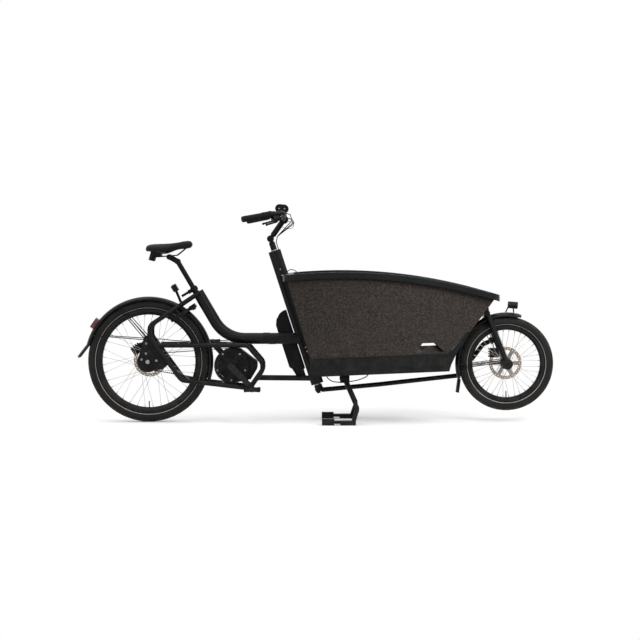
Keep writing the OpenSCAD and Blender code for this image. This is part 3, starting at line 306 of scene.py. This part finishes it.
# Brake discs: stamped stainless steel, ground in circles and tinted a warm grey by heat. Each is bolted to
# its hub.
def disc_steel(name, node):
    """Ground steel: rings of fine scratches about the axle, from noise stretched along the turn."""
    low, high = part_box(node)
    middle = (low + high) / 2
    made, tree, shader, place_in = bare(name, 0.3, 1.0)
    shift = tree.nodes.new("ShaderNodeMapping")
    shift.inputs["Location"].default_value = -middle
    tree.links.new(place_in, shift.inputs["Vector"])
    length = tree.nodes.new("ShaderNodeVectorMath")
    length.operation = "LENGTH"
    tree.links.new(shift.outputs[0], length.inputs[0])
    ring = tree.nodes.new("ShaderNodeCombineXYZ")
    tree.links.new(length.outputs["Value"], ring.inputs[0])
    scratch = noise(tree, ring.outputs[0], 1800.0, 2.0)
    heat = ramp(tree, length.outputs["Value"], 0.05, 0.09)
    colour = mix(tree, heat, "#8e8a86", "#9a8878")
    worn = place(tree, grain_group, place_in, Size=0.004)
    tree.links.new(mix(tree, worn["Drift"], colour, "#7e746b"), shader.inputs["Base Color"])
    tree.links.new(ramp(tree, scratch, 0.3, 0.7, 0.22, 0.42), shader.inputs["Roughness"])
    tree.links.new(bump(tree, scratch, 0.00002), shader.inputs["Normal"])
    return made


dress(disc_steel("rear_disc_steel", "rear_rotor"), "rear_rotor")
dress(disc_steel("front_disc_steel", "front_rotor"), "front_rotor")

# Cargo tray, box rim and floor board: thick injection-moulded plastic with a fine spark-eroded texture, and a
# coated board, screwed together round the box.
tray_plastic = finish("tray_plastic", "#0f1011", "#141516", "#242527", 0.52, 0.0014, 0.0001, gloss=0.1)
dress(tray_plastic, "tray")
rim_plastic = finish("rim_plastic", "#0e0f10", "#131416", "#2a2b2e", 0.32, 0.0014, 0.00006, gloss=0.14,
                     edge=0.012)
dress(rim_plastic, "box_rim")
dress(finish("floor_panel", "#3a3733", "#46423d", "#5a554e", 0.6, 0.003, 0.0001), "floor_board")

# Cargo box: steam-moulded expanded foam beads, dark brown-grey, fused so that each bead still shows. It
# stands in the tray and carries the rim.
beads_a_metre = 205.0


def bead_foam():
    """Fused beads: cells of a Voronoi pattern, each of its own tone, with darker seams that also dent."""
    made, tree, shader, place_in = bare("bead_foam", 0.85, 0.0, 0.2)
    cells = tree.nodes.new("ShaderNodeTexVoronoi")
    cells.inputs["Scale"].default_value = beads_a_metre
    tree.links.new(place_in, cells.inputs["Vector"])
    seam = tree.nodes.new("ShaderNodeTexVoronoi")
    seam.feature = "DISTANCE_TO_EDGE"
    seam.inputs["Scale"].default_value = beads_a_metre
    tree.links.new(place_in, seam.inputs["Vector"])
    split = tree.nodes.new("ShaderNodeSeparateColor")
    tree.links.new(cells.outputs["Color"], split.inputs[0])
    grain = place(tree, grain_group, place_in, Size=0.012)
    colour = mix(tree, ramp(tree, split.outputs[0], 0.1, 0.9), "#24201e", "#47403b")
    colour = mix(tree, maths(tree, "MULTIPLY", grain["Drift"], 0.3), colour, "#3a342f")
    crack = ramp(tree, seam.outputs["Distance"], 0.0, 0.12)
    colour = mix(tree, crack, "#1c1917", colour)
    dirt = place(tree, dust_group, place_in, Reach=0.6)
    colour = mix(tree, maths(tree, "MULTIPLY", dirt["Mask"], 0.25), colour, dust_tone)
    worn = place(tree, edge_group, place_in, Radius=0.012)
    tree.links.new(colour, shader.inputs["Base Color"])
    tree.links.new(bump(tree, crack, 0.0006, worn["Normal"]), shader.inputs["Normal"])
    return made


dress(bead_foam(), "cargo_box")


# Tyres: rubber moulded on a woven casing, with a shallow tread, slanted shoulder cuts and a woven
# reflecting stripe on both sidewalls. They are held in the rims by air pressure.
def grid_faces(points, turn_closed, round_closed, capped):
    """The faces of a grid of points: quads join neighbours, closed ways wrap, capped ends get one face, and
    all are turned outwards by the sign of the volume that they bound."""
    n, m = points.shape[:2]
    i, j = np.meshgrid(np.arange(n if turn_closed else n - 1), np.arange(m if round_closed else m - 1),
                       indexing="ij")
    here, ahead = i * m, (i + 1) % n * m
    quads = np.stack([here + j, ahead + j, ahead + (j + 1) % m, here + (j + 1) % m], -1).reshape(-1, 4)
    flat = points.reshape(-1, 3)
    corner = flat[quads]
    volume = np.einsum("ij,ij->i", np.cross(corner[:, 1] - corner[:, 0], corner[:, 2] - corner[:, 0]),
                       corner[:, 0] - flat.mean(0)).sum()
    faces = (quads if volume > 0 else quads[:, ::-1]).tolist()
    if capped:
        ends = [np.arange(m), (n - 1) * m + np.arange(m)[::-1]]
        faces += [(end if volume > 0 else end[::-1]).tolist() for end in ends]
    return faces


def link_mesh(name, flat, faces):
    """Makes a smooth mesh object of points and faces."""
    mesh = bpy.data.meshes.new(name)
    mesh.from_pydata(flat.tolist(), [], faces)
    mesh.shade_smooth()
    made = bpy.data.objects.new(name, mesh)
    bpy.context.scene.collection.objects.link(made)
    return made


def mesh_of(name, points, turn_closed, round_closed, capped=False):
    """A mesh object on one grid of points."""
    return link_mesh(name, points.reshape(-1, 3), grid_faces(points, turn_closed, round_closed, capped))


def step(value, low, high):
    """A smooth step from 0 at low to 1 at high."""
    t = np.clip((value - low) / (high - low), 0, 1)
    return t * t * (3 - 2 * t)


groove_at = 0.3
groove_width = 0.05
tread_depth = 0.0018


def tyre(name, node, cuts):
    """A ring whose section is a circle, pinched towards the beads: radius and side are the ring radius plus
    the section radius turned by the angle. Two grooves and slanted shoulder cuts lower the section radius."""
    low, high = (np.array(corner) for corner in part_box(node))
    middle = (low + high) / 2
    half = (high[1] - low[1]) / 2
    ring = (high[2] - low[2]) / 2 - half
    turn = np.linspace(0, 2 * np.pi, cuts * 10, endpoint=False)[:, None]
    angle = np.linspace(-np.pi, np.pi, 64, endpoint=False)[None, :]
    off = np.abs(angle)
    groove = np.exp(-((off - groove_at) / groove_width) ** 2)
    slant = 0.5 + 0.5 * np.cos(cuts * turn + 3.4 * off)
    shoulder = step(slant, 0.7, 0.9) * step(off, 0.38, 0.46) * (1 - step(off, 0.98, 1.1))
    reach = half - tread_depth * np.maximum(groove + 0 * turn, shoulder)
    out = ring + reach * np.cos(angle)
    side = reach * np.sin(angle) * (1 - 0.22 * step(off, 1.92, 2.44))
    points = np.stack([middle[0] + out * np.cos(turn), middle[1] + side + 0 * turn,
                       middle[2] + out * np.sin(turn)], -1)
    made = mesh_of(name, points, True, True)
    layer = made.data.attributes.new("section", "FLOAT", "POINT")
    layer.data.foreach_set("value", (off + 0 * turn).ravel().astype(np.float32))
    return made


def tyre_rubber():
    """Matt rubber with the stripe where the section angle passes the sidewall, fine casing ribs and dust."""
    made, tree, shader, place_in = bare("tyre_rubber", 0.8, 0.0, 0.2)
    section = tree.nodes.new("ShaderNodeAttribute")
    section.attribute_name = "section"
    where = section.outputs["Fac"]
    grain = place(tree, grain_group, place_in, Size=0.0015)
    dirt = place(tree, dust_group, place_in, Reach=1.4)
    colour = mix(tree, grain["Drift"], "#191716", "#221f1e")
    tread = ramp(tree, where, 1.15, 0.9)
    colour = mix(tree, maths(tree, "MULTIPLY", tread, dirt["Mask"]), colour, "#4a4642")
    stripe = maths(tree, "MULTIPLY", ramp(tree, where, 2.08, 2.11), ramp(tree, where, 2.23, 2.2))
    tree.links.new(mix(tree, stripe, colour, "#a8a7a2"), shader.inputs["Base Color"])
    rib = maths(tree, "SINE", maths(tree, "MULTIPLY", where, 90.0))
    height = maths(tree, "MULTIPLY_ADD", rib, 0.25, grain["Height"])
    tree.links.new(bump(tree, height, 0.00008), shader.inputs["Normal"])
    return made


casing = tyre_rubber()
for name, node, body, cuts in (("rear_tyre_cover", "rear_tyre", "rear_wheel", 104),
                               ("front_tyre_cover", "front_tyre", "front_wheel", 80)):
    cover = tyre(name, node, cuts)
    cover.data.materials.append(casing)
    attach(cover, body)
    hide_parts(node)


# Brake hoses and gear cable: black plastic hose over a liner, from the lever perches round the front of the
# stem to the column slot. Each runs in two lengths that meet on the turning column.
def bent_route(corners, bend):
    """The points of a route: straight lengths, with each corner replaced by an arc that touches both."""
    points = [corners[0]]
    for before, here, after in zip(corners[:-2], corners[1:-1], corners[2:]):
        a, b = before - here, after - here
        a, b = a / np.linalg.norm(a), b / np.linalg.norm(b)
        turn = np.pi - np.arccos(np.clip(a @ b, -1, 1))
        middle = here + (a + b) / np.linalg.norm(a + b) * bend / np.cos(turn / 2)
        start = here + a * bend * np.tan(turn / 2) - middle
        ahead = np.cross(np.cross(start, -a), start)
        ahead *= bend / np.linalg.norm(ahead)
        swing = np.linspace(0, turn, 9)[:, None]
        points.extend(middle + start * np.cos(swing) + ahead * np.sin(swing))
    points.append(corners[-1])
    return np.array(points)


def tube(name, route, radius, sides=12):
    """A round tube: a circle carried along the route, square to it, without twist from point to point."""
    ahead = np.gradient(route, axis=0)
    ahead /= np.linalg.norm(ahead, axis=1)[:, None]
    across = np.cross(ahead, (0.31, 0.87, -0.38))
    across /= np.linalg.norm(across, axis=1)[:, None]
    up = np.cross(ahead, across)
    angle = np.linspace(0, 2 * np.pi, sides, endpoint=False)[None, :, None]
    points = route[:, None] + radius * (across[:, None] * np.cos(angle) + up[:, None] * np.sin(angle))
    return mesh_of(name, points, False, True, capped=True)


hose_r = 0.0024
hose_bend = 0.0205
hose_black = finish("hose_plastic", "#131314", "#1a1a1b", "#2a2a2b", 0.4, 0.001, 0.00002, edge=0.0003)
hose_lanes = (-0.006, 0.0, 0.006)
column_top = [np.array([-0.2154, y, 0.9881]) for y in hose_lanes]
column_slot = [np.array([-0.1967, y, 0.9303]) for y in hose_lanes]
column_bow = [np.array([-0.2093, y, 1.0206]) for y in hose_lanes]
hose_routes = (
    [(-0.1965, -0.2139, 1.1191), (-0.1798, -0.2041, 1.1223), (-0.136, -0.12, 1.116), (-0.12, -0.024, 1.098)],
    [(-0.2261, -0.2495, 1.1378), (-0.1738, -0.2222, 1.1473), (-0.136, -0.165, 1.138), (-0.128, -0.01, 1.108)],
    [(-0.1965, 0.2139, 1.1191), (-0.1798, 0.2041, 1.1223), (-0.132, 0.116, 1.119), (-0.116, 0.02, 1.092)],
)
for name, route, bow, top, slot in zip(("right_hose", "gear_cable", "left_hose"), hose_routes, column_bow,
                                       column_top, column_slot):
    path = bent_route([np.array(p) for p in route] + [bow, top], hose_bend)
    upper = tube(name, path, hose_r)
    upper.data.materials.append(hose_black)
    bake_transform(upper)
    drop = top + np.linspace(0, 1, 12)[:, None] * (slot - top)
    lower = tube(name + "_lower", drop, hose_r)
    lower.data.materials.append(hose_black)
    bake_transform(lower)
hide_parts("bar_cables")
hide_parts("column_cables")


# Cables on the frame: the lamp cable that arches from the column over the rim into the box, the cable that
# hangs under the tray, the two brake hoses, clipped to the left chainstay and the left fork leg, and the loop
# of thin cable from the stem to the display.
def smooth_route(corners, count):
    """A cubic curve through the given points, with slopes from their neighbours, at even shares of it."""
    corners = np.array(corners)
    span = np.concatenate([[0], np.cumsum(np.linalg.norm(np.diff(corners, axis=0), axis=1))])
    at = np.linspace(0, span[-1], count)
    return np.stack([smooth_through(span, corners[:, k], at) for k in range(3)], -1)


def smooth_through(x, values, at):
    """A cubic through the stations, with slopes from their neighbours, at the given places."""
    slope = np.gradient(values, x)
    i = np.clip(np.searchsorted(x, at, side="right") - 1, 0, len(x) - 2)
    w = x[i + 1] - x[i]
    t = (at - x[i]) / w
    return ((2 * t ** 3 - 3 * t ** 2 + 1) * values[i] + (t ** 3 - 2 * t ** 2 + t) * w * slope[i]
            + (3 * t ** 2 - 2 * t ** 3) * values[i + 1] + (t ** 3 - t ** 2) * w * slope[i + 1])


frame_cables = (
    ("lamp_cable", "frame", 0.0022, "taut", [(-0.156, 0, 0.822), (-0.147, 0, 0.834), (-0.134, 0, 0.8385),
     (-0.117, 0, 0.835), (-0.1, 0, 0.822), (-0.0915, 0, 0.803), (-0.0905, 0, 0.78)]),
    ("tray_cable", "frame", 0.0028, "hanging", [(0.049, -0.165, 0.326), (0.0535, -0.165, 0.29),
     (0.066, -0.165, 0.255), (0.09, -0.165, 0.237), (0.123, -0.165, 0.2315), (0.18, -0.165, 0.2345),
     (0.24, -0.165, 0.2465), (0.28, -0.165, 0.266), (0.296, -0.165, 0.3), (0.299, -0.165, 0.336)]),
    ("rear_brake_hose", "frame", 0.0024, "taut", [(-0.452, 0.026, 0.452), (-0.49, 0.047, 0.4465),
     (-0.545, 0.0665, 0.4425), (-0.62, 0.072, 0.4405), (-0.72, 0.072, 0.4405), (-0.79, 0.0665, 0.4445),
     (-0.85, 0.057, 0.452), (-0.905, 0.05, 0.4535), (-0.948, 0.0485, 0.443), (-0.978, 0.0485, 0.42)]),
    ("front_brake_hose", "fork", 0.0024, "taut", [(0.989, 0.042, 0.398), (0.9835, 0.0405, 0.42),
     (0.973, 0.039, 0.455), (0.957, 0.039, 0.5), (0.939, 0.04, 0.545), (0.9255, 0.0425, 0.577),
     (0.9215, 0.046, 0.598)]),
    ("display_cable", "bars", 0.0013, "taut", [(-0.198, -0.011, 1.082), (-0.182, -0.024, 1.0715),
     (-0.161, -0.034, 1.0645), (-0.1395, -0.037, 1.062), (-0.1235, -0.037, 1.0705), (-0.1185, -0.036, 1.0845),
     (-0.127, -0.034, 1.0975), (-0.146, -0.03, 1.1025), (-0.164, -0.0245, 1.107), (-0.176, -0.018, 1.113)]),
)
for name, body, radius, lay, corners in frame_cables:
    path = smooth_route(corners, 40)
    cable = tube(name, path, radius)
    cable.data.materials.append(hose_black)
    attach(cable, body)


# Bolts of the dropouts, the belt ring and the display: cap-head screws of bright plated steel with a hexagon
# socket.
head_sides = 24
head_round = 0.0006


def box_middle(node):
    """The middle of a node's box, as x and z."""
    low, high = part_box(node)
    return (low[0] + high[0]) / 2, (low[2] + high[2]) / 2


def socket_head(radius, height, socket):
    """A screw head: a turned profile with a rounded rim, whose inner rings close to a hexagon, the reach of a
    hexagon at an angle being its half width over the cosine from the nearest flat."""
    angle = np.linspace(0, 2 * np.pi, head_sides, endpoint=False)
    flat = np.mod(angle + np.pi / 6, np.pi / 3) - np.pi / 6
    hexagon = socket / np.cos(flat)
    outer = np.full(head_sides, radius)
    reach = [outer, outer, outer - head_round, 1.08 * hexagon, hexagon, hexagon, 0.05 * hexagon]
    rise = [0, height - head_round, height, height, height - 0.0002, 0.35 * height, 0.3 * height]
    reach, rise = np.array(reach), np.array(rise)[:, None]
    return np.stack([reach * np.cos(angle), reach * np.sin(angle), rise + 0 * reach], -1)


def heads(name, places, side, radius, height, socket):
    """Copies of one screw head on faces that look to one side: local z is that side."""
    head = socket_head(radius, height, socket)
    base = np.stack([head[..., 0], side * head[..., 2], head[..., 1]], -1)
    faces = grid_faces(base, False, True, True)
    count = base.shape[0] * base.shape[1]
    places = np.array(places)
    flat = (places[:, None, :] + base.reshape(1, -1, 3)).reshape(-1, 3)
    every = [[k + copy * count for k in face] for copy in range(len(places)) for face in faces]
    return link_mesh(name, flat, every)


dropout_bolts = ((-0.926, 0.381), (-0.869, 0.342), (-0.95, 0.348), (-0.9245, 0.436))
dropout_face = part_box("dropouts")[1][1]
right_places = [(x, -dropout_face, z) for x, z in dropout_bolts]
left_places = [(x, dropout_face, z) for x, z in dropout_bolts]
ring_face = -0.05
ring_bolt_r = 0.08
ring_turn = np.radians(54 + 72 * np.arange(5))
crank_x, crank_z = box_middle("cranks")
ring_places = np.stack([crank_x + ring_bolt_r * np.cos(ring_turn), 0 * ring_turn + ring_face,
                        crank_z + ring_bolt_r * np.sin(ring_turn)], -1)
display_places = [(-0.1987, -0.029, 1.1725), (-0.1686, -0.029, 1.1715)]
bolt_sets = (
    ("right_dropout_bolts", "frame", right_places, -1, 0.0062, 0.005, 0.0026),
    ("left_dropout_bolts", "frame", left_places, 1, 0.0062, 0.005, 0.0026),
    ("ring_bolts", "crank", ring_places, -1, 0.0055, 0.004, 0.0024),
    ("display_screws", "bars", display_places, -1, 0.0042, 0.0022, 0.0018),
)
for name, body, places, side, radius, height, socket in bolt_sets:
    bolts = heads(name, places, side, radius, height, socket)
    bolts.data.materials.append(plated)
    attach(bolts, body)


# Guard hems: both guards' edges are turned down beside the tyre as the sheet is formed, about 9 mm deep, and
# are of the same plastic.
hem_depth = 0.009
hem_half = 0.0008
hem_square = 0.4


def turned_hem(name, centre, crest, side, start, end):
    """Two strips beside the tyre: a flat rounded bar hangs from the guard's edge along an arc about the
    wheel, and its depth runs out towards both ends."""
    share = np.linspace(0, 1, 120)[:, None]
    turn = np.radians(start + (end - start) * share)
    deep = hem_depth * (0.12 + 0.88 * step(share, 0, 0.04) * (1 - step(share, 0.96, 1)))
    angle = np.linspace(0, 2 * np.pi, 16, endpoint=False)[None, :]
    across = hem_half * np.sign(np.cos(angle)) * np.abs(np.cos(angle)) ** hem_square
    out = crest - deep / 2 * (1 - np.sign(np.sin(angle)) * np.abs(np.sin(angle)) ** hem_square)
    flat, faces = [], []
    for y in (-side, side):
        strip = np.stack([centre[0] + out * np.cos(turn), y + across + 0 * turn,
                          centre[1] + out * np.sin(turn)], -1)
        before = sum(map(len, flat))
        faces += [[k + before for k in face] for face in grid_faces(strip, False, True, True)]
        flat.append(strip.reshape(-1, 3))
    return link_mesh(name, np.concatenate(flat), faces)


for name, body, centre, crest, side, start, end in (
        ("rear_guard_hem", "frame", box_middle("rear_tyre"), 0.3436, 0.0326, -20, 165),
        ("front_guard_hem", "fork", box_middle("front_tyre"), 0.2685, 0.0316, 73, 197)):
    hem = turned_hem(name, centre, crest, side, start, end)
    hem.data.materials.append(guard)
    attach(hem, body)


# Lamp strap: a spring-steel strip bent along the crest of the front guard, riveted there, which carries the
# posts of the headlight.
def crest_strap(name, centre, crest, start, end, half, thick):
    """A strip along an arc: its section is a flat rounded bar whose middle lies on the crest circle."""
    turn = np.radians(np.linspace(start, end, 40))[:, None]
    angle = np.linspace(0, 2 * np.pi, 20, endpoint=False)[None, :]
    side = half * np.sign(np.cos(angle)) * np.abs(np.cos(angle)) ** 0.35
    out = crest + thick * np.sign(np.sin(angle)) * np.abs(np.sin(angle)) ** 0.35 - side ** 2 / 0.09
    points = np.stack([centre[0] + out * np.cos(turn), side + 0 * turn, centre[1] + out * np.sin(turn)], -1)
    return mesh_of(name, points, False, True, capped=True)


strap = crest_strap("lamp_strap", box_middle("front_tyre"), 0.2822, 76, 119, 0.0075, 0.0009)
strap.data.materials.append(plated)
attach(strap, "fork")

# Lenses: a clear moulded lens in the mouth of the headlight, ringed by fine prisms, and a red prism lens on
# the rear face of the reflector, whose moulded arm stands on a stay.
def lens_painted_reflection():
    """Clear plastic over a bright reflector, very smooth, with faint rings of tone; its pale colour is a
    painted reflection of that reflector.
    """
    made, tree, shader, place_in = bare("lens_painted_reflection", 0.08, 0.0, 0.5)
    grain = place(tree, grain_group, place_in, Size=0.006)
    # Painted reflection: these pale greys stand for the bright reflector seen through the lens.
    tree.links.new(mix(tree, grain["Drift"], "#aeb4b8", "#c3c8cb"), shader.inputs["Base Color"])
    tree.links.new(ramp(tree, grain["Drift"], 0.0, 1.0, 0.05, 0.14), shader.inputs["Roughness"])
    return made


def domed_lens(name, middle, ahead, radius, rise, rings):
    """A disc that bulges along its axis: the rise falls with the square of the radius, and a sine of the
    radius adds the rings."""
    ahead = np.array(ahead) / np.linalg.norm(ahead)
    across = np.array([0.0, 1.0, 0.0])
    up = np.cross(ahead, across)
    share = np.linspace(1, 0.001, 26)[:, None]
    angle = np.linspace(0, 2 * np.pi, 36, endpoint=False)[None, :]
    bulge = rise * (1 - share ** 2) + 0.0003 * np.sin(rings * np.pi * share)
    points = (np.array(middle) + radius * share[..., None] * (np.cos(angle)[..., None] * across
              + np.sin(angle)[..., None] * up) + bulge[..., None] * ahead)
    back = points[:1] - 0.002 * ahead
    hub = (back.mean(1, keepdims=True) + 0.001 * (back - back.mean(1, keepdims=True)))
    return mesh_of(name, np.concatenate([hub, back, points]), False, True, capped=True)


front_lens = domed_lens("headlight_lens", (1.1065, 0, 0.64145), (52, 0, -4), 0.0152, 0.0035, 18)
front_lens.data.materials.append(lens_painted_reflection())
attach(front_lens, "fork")


def prism_lens(name, middle, lean, half_side, half_up, thick):
    """A slab that leans back: its rear face carries rows of pyramids, the sum of two triangle waves; each row
    of points goes over that face and closes behind it."""
    up = np.linspace(-1, 1, 33)[:, None]
    side = np.linspace(-1, 1, 33)[None, :]
    wave = np.abs(np.mod(side * 8, 1) - 0.5) + np.abs(np.mod(up * 8, 1) - 0.5)
    inside = (np.abs(side) < 0.95) & (np.abs(up) < 0.95)
    depth = np.pad(thick - np.where(inside, 0.0008 * wave, 0.0), ((0, 0), (0, 2)))
    across = np.concatenate([side, [[1.0, -1.0]]], 1) * half_side + 0 * up
    back, rise = np.array([-np.cos(lean), 0, -np.sin(lean)]), np.array([-np.sin(lean), 0, np.cos(lean)])
    points = (np.array(middle) + depth[..., None] * back + across[..., None] * np.array([0.0, 1.0, 0.0])
              + (half_up * up + 0 * across)[..., None] * rise)
    return mesh_of(name, points, False, True, capped=True)


lens_middle = (-0.7774, -0.047, 0.733)
lens_lean = np.radians(30.4)
reflector_lens = prism_lens("reflector_lens", lens_middle, lens_lean, 0.023, 0.017, 0.0055)
# Painted light: the bright red third tone lights the lens edges, laid where they are also worn.
red_lens_lit_edges = finish("red_lens_lit_edges", "#5c1413", "#6e1a18", "#a3382f", 0.14, 0.004, 0.0001, gloss=0.5, dust=0.15)
reflector_lens.data.materials.append(red_lens_lit_edges)
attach(reflector_lens, "frame")
arm_foot = np.array([-0.7368, -0.0452, 0.661])
arm_run = np.array([-0.0245, -0.0017, 0.0595])
arm_route = arm_foot + np.linspace(0, 1, 12)[:, None] * arm_run
arm = tube("reflector_arm", arm_route, 0.0072, 20)
arm.data.materials.append(shell)
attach(arm, "frame")


# Saddle: a sprung plastic base with a foam pad under a tight vinyl cover, seamed low along the side, and a
# shallow channel down its middle. It is clamped to the seatpost by its rails.
saddle_shift = 0.01396
saddle_x = np.array([-946, -940, -925, -900, -870, -840, -810, -780, -755, -730, -708, -695, -689]) / 1000
saddle_top = np.array([952, 965, 974, 978.5, 980, 981, 983, 987, 991, 994.5, 995.5, 990, 979]) / 1000
saddle_low = np.array([947, 940, 937.5, 934, 928, 924, 932, 944, 950, 952, 956, 962, 972]) / 1000
saddle_half = np.array([10, 46, 74, 88, 90, 82, 64, 45, 36, 31, 27, 20, 6]) / 1000


def saddle_pad():
    """A loft of flattened rings: each ring is a power curve between the top, the low and the half width at
    its place along the saddle, dented along the middle channel and along the seam."""
    share = np.linspace(0, 1, 110)
    along = saddle_x[0] + (saddle_x[-1] - saddle_x[0]) * (0.5 - 0.5 * np.cos(np.pi * share))
    stations = (saddle_top, saddle_low, saddle_half)
    top, low, half = (smooth_through(saddle_x, values, along)[:, None] for values in stations)
    angle = np.linspace(0, 2 * np.pi, 96, endpoint=False)[None, :]
    c, s = np.cos(angle), np.sin(angle)
    middle = low + 0.45 * (top - low)
    side = half * np.sign(c) * np.abs(c) ** 0.75
    over = middle + (top - middle) * np.abs(s) ** 0.8
    under = middle - (middle - low) * np.abs(s) ** 0.6
    up = np.where(s > 0, over, under)
    reach = step(along, -0.93, -0.86)[:, None] * (1 - step(along, -0.78, -0.74)[:, None])
    up = up - 0.006 * reach * np.exp(-(side / 0.011) ** 2) * (s > 0)
    seam = np.exp(-((angle - np.pi * 1.06) / 0.05) ** 2) + np.exp(-((angle - np.pi * 1.94) / 0.05) ** 2)
    side = side * (1 - 0.03 * seam)
    points = np.stack([along[:, None] + saddle_shift + 0 * side, side, up], -1)
    return mesh_of("saddle_pad", points, False, True, capped=True)


def vinyl():
    """Leather-like vinyl: Voronoi pebbles for bump, slightly uneven tone and sheen."""
    made, tree, shader, place_in = bare("saddle_vinyl", 0.55, 0.0, 0.14)
    cells = tree.nodes.new("ShaderNodeTexVoronoi")
    cells.inputs["Scale"].default_value = 620.0
    tree.links.new(place_in, cells.inputs["Vector"])
    grain = place(tree, grain_group, place_in, Size=0.004)
    tree.links.new(mix(tree, grain["Drift"], "#0e0f10", "#151618"), shader.inputs["Base Color"])
    tree.links.new(ramp(tree, grain["Drift"], 0.0, 1.0, 0.5, 0.62), shader.inputs["Roughness"])
    tree.links.new(bump(tree, cells.outputs["Distance"], 0.00025), shader.inputs["Normal"])
    return made


pad = saddle_pad()
pad.data.materials.append(vinyl())
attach(pad, "seat")
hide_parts("saddle")


# Stage: a pale floor that keeps the soft shadow, large soft lights over and beside the object, and the
# camera at the photograph's place.
def floor_paint():
    """Pale matt floor; rays from the camera, mirrors and glass also see a little glow, so that the floor is
    white where nothing shades it. Ambient occlusion dims that glow where a piece stands close over it: a
    painted contact shadow."""
    made, tree, shader, place_in = bare("pale_floor", 0.9, 0.0, 0.1)
    shader.inputs["Base Color"].default_value = (0.8, 0.8, 0.8, 1)
    rays = tree.nodes.new("ShaderNodeLightPath")
    seen = maths(tree, "MAXIMUM", rays.outputs["Is Camera Ray"], rays.outputs["Is Glossy Ray"])
    seen = maths(tree, "MAXIMUM", seen, rays.outputs["Is Transmission Ray"])
    glow = tree.nodes.new("ShaderNodeEmission")
    # Painted shadow: ambient occlusion darkens the floor's glow under pieces that stand close over it.
    painted_contact_shade = tree.nodes.new("ShaderNodeAmbientOcclusion")
    painted_contact_shade.inputs["Distance"].default_value = 0.16
    tree.links.new(maths(tree, "MULTIPLY", maths(tree, "MULTIPLY", seen, 0.4), painted_contact_shade.outputs["AO"]),
                   glow.inputs["Strength"])
    both = tree.nodes.new("ShaderNodeAddShader")
    tree.links.new(shader.outputs[0], both.inputs[0])
    tree.links.new(glow.outputs[0], both.inputs[1])
    stretch = tree.nodes.new("ShaderNodeMapping")
    stretch.inputs["Scale"].default_value = (0.62, 1.0, 1.0)
    tree.links.new(place_in, stretch.inputs["Vector"])
    far = tree.nodes.new("ShaderNodeVectorMath")
    far.operation = "LENGTH"
    tree.links.new(stretch.outputs[0], far.inputs[0])
    clear = tree.nodes.new("ShaderNodeBsdfTransparent")
    fade = tree.nodes.new("ShaderNodeMixShader")
    tree.links.new(ramp(tree, far.outputs["Value"], 0.7, 1.5), fade.inputs[0])
    tree.links.new(both.outputs[0], fade.inputs[1])
    tree.links.new(clear.outputs[0], fade.inputs[2])
    tree.links.new(fade.outputs[0], tree.nodes["Material Output"].inputs["Surface"])
    return made


floor_half = 3.0
floor_z = -0.0005
floor_mesh = bpy.data.meshes.new("floor")
floor_corners = [(x * floor_half, y * floor_half, floor_z) for x, y in ((-1, -1), (1, -1), (1, 1), (-1, 1))]
floor_mesh.from_pydata(floor_corners, [], [(0, 1, 2, 3)])
floor = bpy.data.objects.new("floor", floor_mesh)
bpy.context.scene.collection.objects.link(floor)
floor.data.materials.append(floor_paint())

world = bpy.data.worlds.new("studio")
bpy.context.scene.world = world
world.use_nodes = True
sky = world.node_tree
rays = sky.nodes.new("ShaderNodeLightPath")
seen = maths(sky, "MAXIMUM", rays.outputs["Is Camera Ray"], rays.outputs["Is Glossy Ray"])
seen = maths(sky, "MAXIMUM", seen, rays.outputs["Is Transmission Ray"])
sky.links.new(ramp(sky, seen, 0.0, 1.0, 0.38, 1.0), sky.nodes["Background"].inputs["Strength"])
sky.nodes["Background"].inputs["Color"].default_value = (1, 1, 1, 1)


def soft_light(name, stand, aim, width, depth, power, spread=180):
    """A rectangular soft light that points from its stand to its aim, with its spread in degrees."""
    data = bpy.data.lights.new(name, "AREA")
    data.shape = "RECTANGLE"
    data.size, data.size_y, data.energy = width, depth, power
    data.spread = np.radians(spread)
    lamp = bpy.data.objects.new(name, data)
    lamp.location = stand
    lamp.rotation_euler = (Vector(aim) - Vector(stand)).to_track_quat("-Z", "Y").to_euler()
    bpy.context.scene.collection.objects.link(lamp)


soft_light("top_light", (0.1, -0.5, 3.2), (0.1, 0, 0.4), 5.6, 4.0, 105)
soft_light("front_light", (1.5, -1.9, 1.9), (0.82, -0.33, 0.86), 1.2, 1.2, 7, 55)
soft_light("back_light", (-2.8, -2.6, 1.8), (-0.4, 0, 0.5), 1.4, 1.4, 18)
soft_light("strip_light", (-2.2, -4.6, 1.3), (0, 0, 0.6), 0.4, 2.2, 9)

camera_place = (0.01396, -9.0, 0.9845)
camera_aim = (0.02496, 0.0, 0.5609)
view = bpy.data.cameras.new("view")
view.lens = 92.05
view.sensor_width = 36.0
view_object = bpy.data.objects.new("view", view)
view_object.location = camera_place
view_object.rotation_euler = (Vector(camera_aim) - Vector(camera_place)).to_track_quat("-Z", "Y").to_euler()
bpy.context.scene.collection.objects.link(view_object)
bpy.context.scene.camera = view_object
bpy.context.scene.view_settings.view_transform = "Standard"
